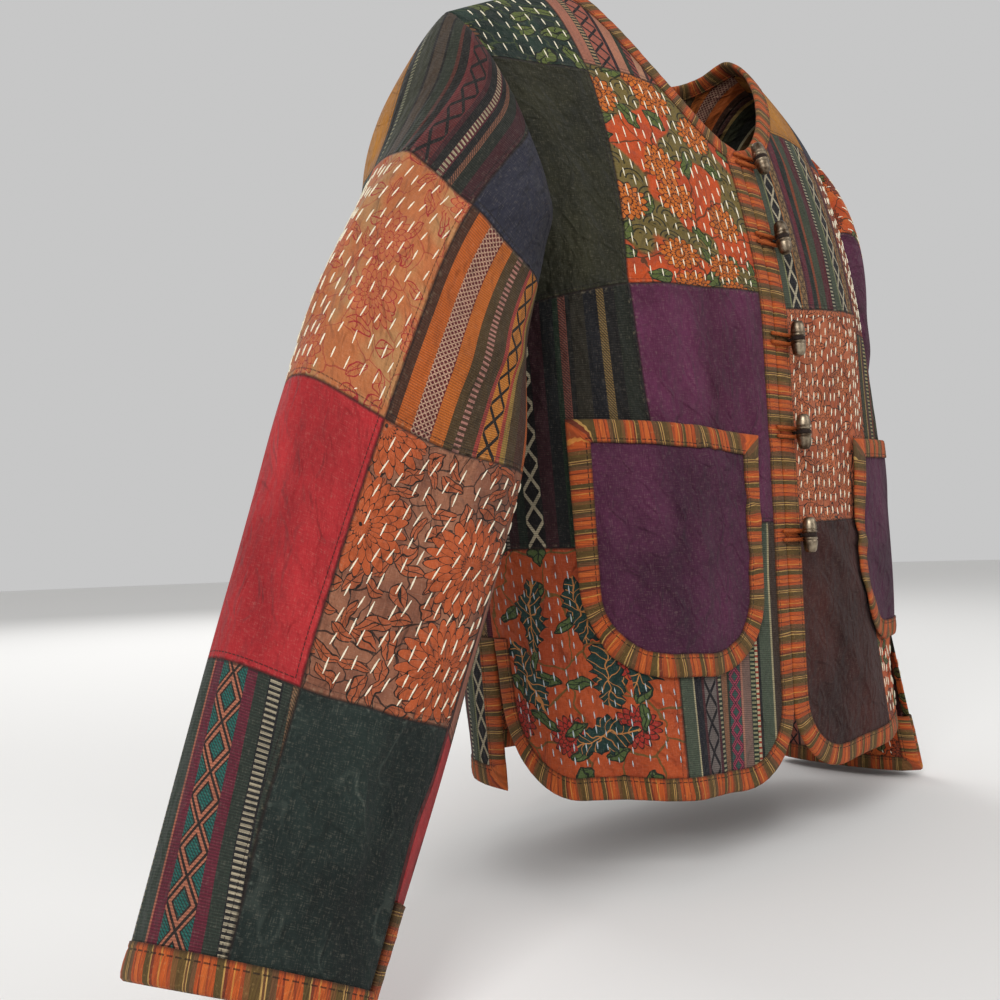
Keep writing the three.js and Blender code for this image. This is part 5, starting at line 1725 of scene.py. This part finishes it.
def printed(name, ground, second, layers, **settings):
    """A printed cloth. Layers: kind, cell size, seed, fill, line colour, size, share shown, line."""
    def paint(look, x, y):
        sway = look.noise(look.vector(x, y, 5.0), 0.03, 2.0)
        warped = look.noise(look.vector(x, y, 11.0), 0.05, 2.0)
        x2 = x + (warped - 0.5) * PRINT_DRIFT
        y2 = y + (sway - 0.5) * PRINT_DRIFT
        colour = look.blend(look.soft(sway, 0.44, 0.58), linear(ground), linear(second))
        for kind, size, seed, fill, ink, reach, share, line in layers:
            if kind == "vines":
                colour = look.blend(vines(look, x2, y2, size, seed, line) * share, colour, linear(ink))
                continue
            if kind == "scales":
                area = look.soft(look.noise(look.vector(x, y, seed), 0.016, 1.0), 0.48, 0.51)
                colour = look.blend(area, colour, linear(fill))
                colour = look.blend(scales(look, x, y, size, line) * area, colour, linear(ink))
                continue
            wave = FLOWER_DRIFT if kind == "flower" else 1.0
            dx, dy, one, two = cells(look, mix(x, x2, wave), mix(y, y2, wave), size, seed)
            shown = one < share
            veins = None
            if kind == "flower":
                petals = 22 if reach > 20 else 16
                inside, drawn = flower(look, dx, dy, two, reach, petals, line)
            else:
                inside, drawn, veins = leaf(look, dx, dy, two, reach, reach * 0.42, line,
                                            teeth=0.3 if kind == "toothed" else 0.0)
            if kind == "leaf":
                drawn = drawn + veins
            if fill:
                colour = look.blend(inside * shown, colour, linear(fill))
            colour = look.blend(look.math("MINIMUM", drawn * shown, 1.0), colour, linear(ink))
            if kind == "toothed":
                colour = look.blend(look.math("MINIMUM", veins * shown, 1.0), colour, linear(VEIN_COLOUR))
        quilting = look.math("SINE", x * (2 * math.pi / 9.0)) * 0.16
        return colour, quilting + sway * 0.2
    return cloth(name, paint, crinkle=0.75, **settings)


LOOKS = {
    "purple": plain("cotton_purple", "42142E", "5C2444"),
    "pocket_purple": plain("cotton_pocket_purple", "38112A", "50203C", topstitch=0.0),
    "red_plain": plain("cotton_red", "961C22", "B22A2E", worn="D86058"),
    "olive_black": plain("cotton_olive_black", "17180D", "2C2B19", worn="8A7A58"),
    "green_black": plain("cotton_green_black", "0E1816", "1E2A26", worn="98A092", creased=0.05),
    "navy_slate": plain("cotton_navy", "1A1A26", "2A2A38", worn="6C7080"),
    "maroon_brown": plain("cotton_maroon_brown", "2A100E", "401C18", worn="6A4038"),
    "mustard": plain("cotton_mustard", "8E5A1E", "AE742A", worn="E0B878"),
    "handloom_grey": striped("handloom_grey", (
        (13, "4A5444"), (1.2, "B8AC88"), (9, "151620"), (3, "4E2428"),
        (14, "6E6460", "cross", "16131A", 21), (3, "4A222A"),
        (7, "16281E", "ladder", "A8A280", 3.4), (8, "8A5E44"), (3, "2A3028"),
        (13, "5C2230", "diamond", "A8405A", 13, "1E5A52"), (2.4, "A87460"), (9, "7E6258"),
        (6, "182C20", "ladder", "98946E", 3.2), (3, "9A3A26", "chain", "C8BC98", 4), (3, "161A1A"),
        (13, "4A5444"), (2, "A89C78"), (12, "38281F"), (6, "6E2A26"), (9, "4A5444"))),
    "handloom_pink": striped("handloom_pink", (
        (10, "AE6E58"), (5, "1E2A24", "ladder", "B8946C", 3.6), (13, "AC5E4C", "cross", "1C1418", 15),
        (3, "2A1820"), (9, "B87A60"), (4, "2A3426"), (6, "984438", "twist", "301A1A", 6), (7, "B88468"),
        (3, "402222"), (11, "A45242", "cross", "1C1418", 15), (5, "6A2E2E"))),
    "handloom_dark": striped("handloom_dark", (
        (16, "120E0E"), (2.6, "120E0E", "chain", "8E8274", 2.6), (3, "1E1012"),
        (2.6, "120E0E", "chain", "8E8274", 2.6), (3, "140E10"), (2.6, "120E0E", "chain", "8E8274", 2.6),
        (8, "300E16"), (7, "16241A"), (14, "100C0E", "cross", "B8AC90", 20), (9, "321019"), (9, "0E1214"),
        (4, "182A1A"), (5, "7A4438", "twist", "3E2420", 2.2), (4, "100F0D"), (11, "28241A"), (11, "0D0E14"),
        (6, "7E6438", "twist", "3E3220", 2.2), (9, "0E0C0C"), (13, "1A1F16"))),
    "handloom_shoulder": striped("handloom_shoulder", (
        (7, "141614"), (5, "2A3026", "ladder", "8A866A", 3.2), (13, "383A2C"), (3, "1A1614"),
        (11, "46382B"),
        (2, "141210"), (10, "2A3024"), (3, "54281F"), (8, "16130F"), (3, "6A2828"),
        (16, "5C2424", "cross", "110D0D", 19), (4, "3C151A"), (6, "151312"),
        (6, "561E26", "ladder", "A8997A", 3), (5, "141212"), (4, "84563F", "twist", "3A2420", 2.2),
        (9, "1C2018"), (12, "3A141A"), (14, "20241C"))),
    "handloom_sleeve": striped("handloom_sleeve", (
        (10, "5A2230"), (8, "11151C"), (1.3, "2A2A26", "chain", "B8AC8C", 2.8), (15, "333D34"),
        (1.4, "A8604A"), (7, "642030"), (17, "2A201C", "diamond", "B06A50", 24, "1C625A"), (6, "642030"),
        (7, "2C352D"), (8, "1A1C1E", "ladder", "A89C84", 2.8), (5, "2C352D"),
        (10, "86664A", "twist", "54402E", 2), (3, "161A16"))),
    "handloom_orange": striped("handloom_orange", (
        (6, "4A2A1A"), (10, "B85A1E"), (12, "621A1E", "twill", "C49A80", 3.4), (9, "B8601F"),
        (6, "4E3A1E"), (6, "4A3420", "ladder", "B07A6C", 3.4), (8, "4A371F"), (3, "9A3A32"),
        (13, "C0762A", "cross", "1C110C", 17), (3, "A84030"), (4, "9A7838"), (8, "4E3A1E"), (6, "4A2A1A"))),
    "handloom_green": striped("handloom_green", (
        (10, "541420"), (6, "181A1A", "ladder", "A8A084", 3.2), (9, "434C3A"), (2, "85855C"),
        (14, "121118", "cross", "B8AC90", 21), (1.6, "A0662F"), (9, "8E6E48", "diamond", "221718", 10),
        (3, "481828"), (6, "64202E"), (7, "18221C"), (4, "843F24"), (11, "3C4432"))),
    "handloom_olive": striped("handloom_olive", (
        (10, "30331C"), (3, "9A7E48"), (7, "4A221C"), (9, "222C20", "ladder", "A8986A", 3.4), (3, "6E2E20"),
        (12, "3C3C22", "cross", "12100B", 16), (6, "644A26"), (2, "B8AC88"), (9, "1E2018"))),
    "scale_print": printed("print_scales", "C04A18", "A8401C", (
        ("vines", 34, 3.0, "", "2E2A14", 0, 0.8, 0.7),
        ("scales", 24, 2.0, "6A5A2C", "23210F", 0, 1, 1.2),
        ("leaf", 24, 5.3, "55602C", "1C2412", 13, 0.55, 0.6),
        ("flower", 44, 9.1, "C0641C", "3A160E", 17, 0.55, 0.6)), topstitch=0.5),
    "leaf_print": printed("print_leaves", "AC4A22", "983E1E", (
        ("vines", 32, 4.0, "", "4A4A22", 0, 0.75, 0.8),
        ("flower", 46, 3.7, "9A2A20", "3E1C14", 15, 0.4, 0.6),
        ("leaf", 24, 8.2, "4A5A30", "1A2416", 11, 0.5, 0.6),
        ("toothed", 47, 1.4, "18342F", "0C1C1A", 29, 0.78, 0.7)), topstitch=0.5),
    "teal_kantha": printed("print_teal", "15241F", "1E3028", (
        ("vines", 20, 2.0, "", "3E4A2A", 0, 0.7, 0.6),
        ("leaf", 22, 2.2, "56602E", "10160F", 13, 0.75, 0.6),
        ("flower", 38, 6.4, "6A4426", "120F0C", 13, 0.4, 0.6)), topstitch=0.4),
    "terracotta_kantha": printed("print_terracotta", "A2502F", "AC5E3C", (
        ("vines", 13, 1.0, "", "2A1410", 0, 0.85, 0.45),
        ("leaf", 14, 7.4, "B2603A", "1E1210", 8, 0.8, 0.42),
        ("flower", 32, 4.4, "B0603A", "1E1210", 13, 0.65, 0.35)), topstitch=0.4),
    "rose_kantha": printed("print_rose", "7E4E3A", "8C5A42", (
        ("vines", 13, 2.0, "", "24140F", 0, 0.9, 0.4),
        ("leaf", 13, 3.4, "9C5030", "1E110C", 8.5, 0.9, 0.35),
        ("flower", 62, 5.2, "AC5028", "1E110C", 27, 0.8, 0.4)), topstitch=0.4),
    "tan_kantha": printed("print_tan", "B4683C", "A8764A", (
        ("vines", 20, 2.5, "", "922626", 0, 0.6, 0.35),
        ("leaf", 16, 1.9, "", "962626", 8, 0.7, 0.35),
        ("flower", 40, 7.1, "B4643C", "962626", 16, 0.65, 0.35),
        ("toothed", 120, 1.6, "1E2C2C", "101A1A", 26, 0.5, 0.5)), topstitch=0.6),
    "orange_print": printed("print_orange", "B0461A", "BE5A24", (
        ("vines", 22, 5.0, "", "3A2414", 0, 0.8, 0.6),
        ("leaf", 20, 4.1, "5A5A2C", "241C10", 10, 0.6, 0.55),
        ("flower", 38, 2.6, "8A3A1E", "2A1610", 14, 0.6, 0.55)), topstitch=0.4),
    "rust_kantha": printed("print_rust", "7E3620", "8C4226", (
        ("vines", 18, 6.0, "", "24120C", 0, 0.8, 0.5),
        ("leaf", 18, 3.3, "A0602E", "2A1410", 10, 0.7, 0.5),
        ("flower", 40, 8.8, "A84C1E", "2A1410", 15, 0.6, 0.5)), topstitch=0.4),
}


BINDING_STRIPES = (
    (2.5, "A84A1E"), (0.8, "8A3A1C"), (3, "B65824"), (0.8, "7A3018"), (2, "A8481E"), (2.4, "64442A"),
    (1.6, "4E3C22"), (0.6, "B08C50"), (0.9, "5A3A22"), (0.6, "B08C50"), (3.6, "57431F"), (2.2, "6C4826"),
    (1.6, "94401F"), (3, "B2501E"), (0.8, "C07A36"), (2.4, "A0461E"), (1.4, "6A2C1A"), (0.6, "AC8448"),
    (3, "50401F"),
)


def binding_look():
    look = Look("binding_stripes")
    x, y = look.uv("flat")
    drift = look.noise(look.vector(x * 0.02, 0.0, 0.0), 1.0, 2.0)
    period, stops = band_stops(BINDING_STRIPES)
    along = (x + drift * 18.0 + y * 0.12) % period
    colour = look.ramp(along / period, stops)
    yarn = look.noise(look.vector(x * 1.3, y * 0.06), 1.0, 2.0)
    colour = look.blend(look.soft(yarn, 0.35, 0.7) * 0.45, colour, linear("3A2214"))
    rub = look.noise(look.vector(x, y), 0.5, 3.0)
    colour = look.blend(look.soft(rub, 0.55, 0.8) * 0.2, colour, linear("D8B070"))
    stitch = (abs(y - 1.6) < 0.4) * ((x % 4.2) < 2.9)
    colour = look.blend(stitch * 0.75, colour, linear("1A120E"))
    # Painted shade: the binding darkens where it rolls round the cloth's edge
    edge_roll_shade = 1.0 - look.soft(y, -1.0, 0.6)
    colour = look.blend(edge_roll_shade * 0.6, colour, linear("24120C"))
    rib = look.math("SINE", x * (2 * math.pi / 1.25)) * 0.13
    pucker = look.noise(look.vector(x * 0.14, y * 0.05), 1.0, 2.0) * 1.3
    return look.shader(colour, 0.85, rib + pucker + stitch * -0.3, sheen=0.02)


def metal_look():
    look = Look("antique_metal")
    place = look.node("ShaderNodeTexCoord").outputs["Object"]
    grain = look.noise(place, 420.0, 4.0)
    patina = look.noise(place, 130.0, 4.0)
    colour = look.ramp(patina, ((0.35, linear("4A3C30")), (0.66, linear("A3947E"))), constant=False)
    return look.shader(colour, look.soft(grain, 0.2, 0.9) * 0.25 + 0.32, grain * 0.12, metal=1.0)


def yarn_look(name, dark, light, scale=1400.0, detail=2.0, low=0.35, roughness=0.7, relief=0.2):
    """A plain yarn or cord, mottled between two colours."""
    look = Look(name)
    grain = look.noise(look.node("ShaderNodeTexCoord").outputs["Object"], scale, detail)
    colour = look.ramp(grain, ((low, linear(dark)), (0.7, linear(light))), constant=False)
    return look.shader(colour, roughness, grain * relief)


BINDING_LOOK = binding_look()
LOOP_LOOK = yarn_look("loop_cotton", "7A3416", "B05A22", scale=900.0, detail=3.0, low=0.3,
                      roughness=0.85, relief=0.5)
METAL_LOOK = metal_look()
THREAD_LOOK = yarn_look("thread_dark", "1A1210", "3A2A22")
THREADS = {
    "cream": yarn_look("thread_cream", "CFC3A6", "F2EAD6"),
    "grey": yarn_look("thread_grey", "8E9AA0", "C4CCCE"),
}


def flat_area(cut, place):
    """Area of a cut's cloth in square metres, by the places of its cells."""
    u, r = cut.places.T
    points = place(u, r) / 1000
    total = 0.0
    for ring in cut.rings:
        for k in range(1, len(ring) - 1):
            a, b, c = points[ring[0]], points[ring[k]], points[ring[k + 1]]
            total += float(np.linalg.norm(np.cross(b - a, c - a))) / 2
    return total


for panel_name, panel in PANELS.items():
    cut = panel_cut(panel_name)
    obj = shell(f"cloth_{panel_name}", cut, panel.place, panel.normal, WALL, panel_measure(panel_name))
    settle(obj, "body_cloth", panel_name)
    size = (cut.places.max(0) - cut.places.min(0)) / 1000
    stitches = panel_stitches(panel_name)
    min(flat_area(cut, panel.place), float(size[0] * size[1]))

for side_name, sleeve in SLEEVE_SURFACES.items():
    cut = sleeve_cut(side_name)
    obj = shell(f"cloth_sleeve_{side_name}", cut, sleeve.place, sleeve.normal, WALL,
                sleeve_measure(side_name))
    settle(obj, "sleeve_cloth", f"sleeve_{side_name}_upper", f"sleeve_{side_name}_lower")
    girth = float(sleeve.girth_table.max()) / 1000
    length = sleeve.length / 1000
    min(flat_area(cut, sleeve.place), girth * length)
    sleeve_stitches(side_name)
    cuff_binding(side_name)
    pocket(side_name)

front_binding("front_right")
front_binding("front_left")
back_bindings()
for number, level in enumerate(TOGGLE_HEIGHTS, 1):
    toggle(number, level)


# Floor, light and camera

FLOOR_REACH = 9.0
FLOOR_GAP = 0.006
FLOOR_SIDES = 64


def add_floor():
    reach = FLOOR_REACH
    level = low_corner[2] - FLOOR_GAP
    count = FLOOR_SIDES
    points = [(0, 0, level)]
    points += [(reach * math.cos(2 * math.pi * k / count), reach * math.sin(2 * math.pi * k / count), level)
               for k in range(count)]
    faces = [(0, 1 + k, 1 + (k + 1) % count) for k in range(count)]
    mesh = bpy.data.meshes.new("floor")
    mesh.from_pydata(points, [], faces)
    obj = bpy.data.objects.new("floor", mesh)
    bpy.context.scene.collection.objects.link(obj)
    look = Look("floor_paint")
    look.shader(linear("E9E8E6"), 0.85, None)
    mesh.materials.append(look.material)
    obj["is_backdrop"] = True


def add_light(name, place, size, power):
    data = bpy.data.lights.new(name, "AREA")
    data.shape = "SQUARE"
    data.size = size
    data.energy = power
    obj = bpy.data.objects.new(name, data)
    obj.location = place
    obj.rotation_euler = (Vector(MIDDLE) - Vector(place)).to_track_quat("-Z", "Y").to_euler()
    bpy.context.scene.collection.objects.link(obj)


add_floor()
MIDDLE = (-0.05, 0.0, -0.35)
# Lights: name, place, size in metres and power in watts
for light in (("key", (-2.6, -1.6, 1.2), 1.3, 66),
              ("fill", (1.2, -2.6, 0.9), 1.8, 24),
              ("back", (0.8, 2.6, 1.5), 2.0, 40)):
    add_light(*light)
world = bpy.data.worlds.new("studio")
world.use_nodes = True
background = world.node_tree.nodes["Background"]
background.inputs[0].default_value = (0.95, 0.95, 0.95, 1)
background.inputs[1].default_value = 0.6
bpy.context.scene.world = world
bpy.context.scene.view_settings.view_transform = "Standard"

CAMERA_PLACE = Vector((-0.696, -0.589, -0.457))
CAMERA_AZIMUTH = math.radians(-40.7)
CAMERA_PITCH = math.radians(2.6)
CAMERA_ROLL = math.radians(-1.8)
CAMERA_LENS = 36 * 1037 / 1000


def add_camera():
    azimuth, pitch, roll = CAMERA_AZIMUTH, CAMERA_PITCH, CAMERA_ROLL
    ahead = Vector((-math.sin(azimuth) * math.cos(pitch), math.cos(azimuth) * math.cos(pitch),
                    math.sin(pitch)))
    right = Vector((math.cos(azimuth), math.sin(azimuth), 0))
    up = right.cross(ahead)
    turned_right = right * math.cos(roll) + up * math.sin(roll)
    turned_up = up * math.cos(roll) - right * math.sin(roll)
    axes = Matrix((turned_right, turned_up, -ahead)).transposed().to_4x4()
    data = bpy.data.cameras.new("camera")
    data.lens = CAMERA_LENS
    data.sensor_width = 36
    data.clip_start = 0.01
    obj = bpy.data.objects.new("camera", data)
    obj.matrix_world = Matrix.Translation(CAMERA_PLACE) @ axes
    bpy.context.scene.collection.objects.link(obj)
    bpy.context.scene.camera = obj


add_camera()

low_corner, high_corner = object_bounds()
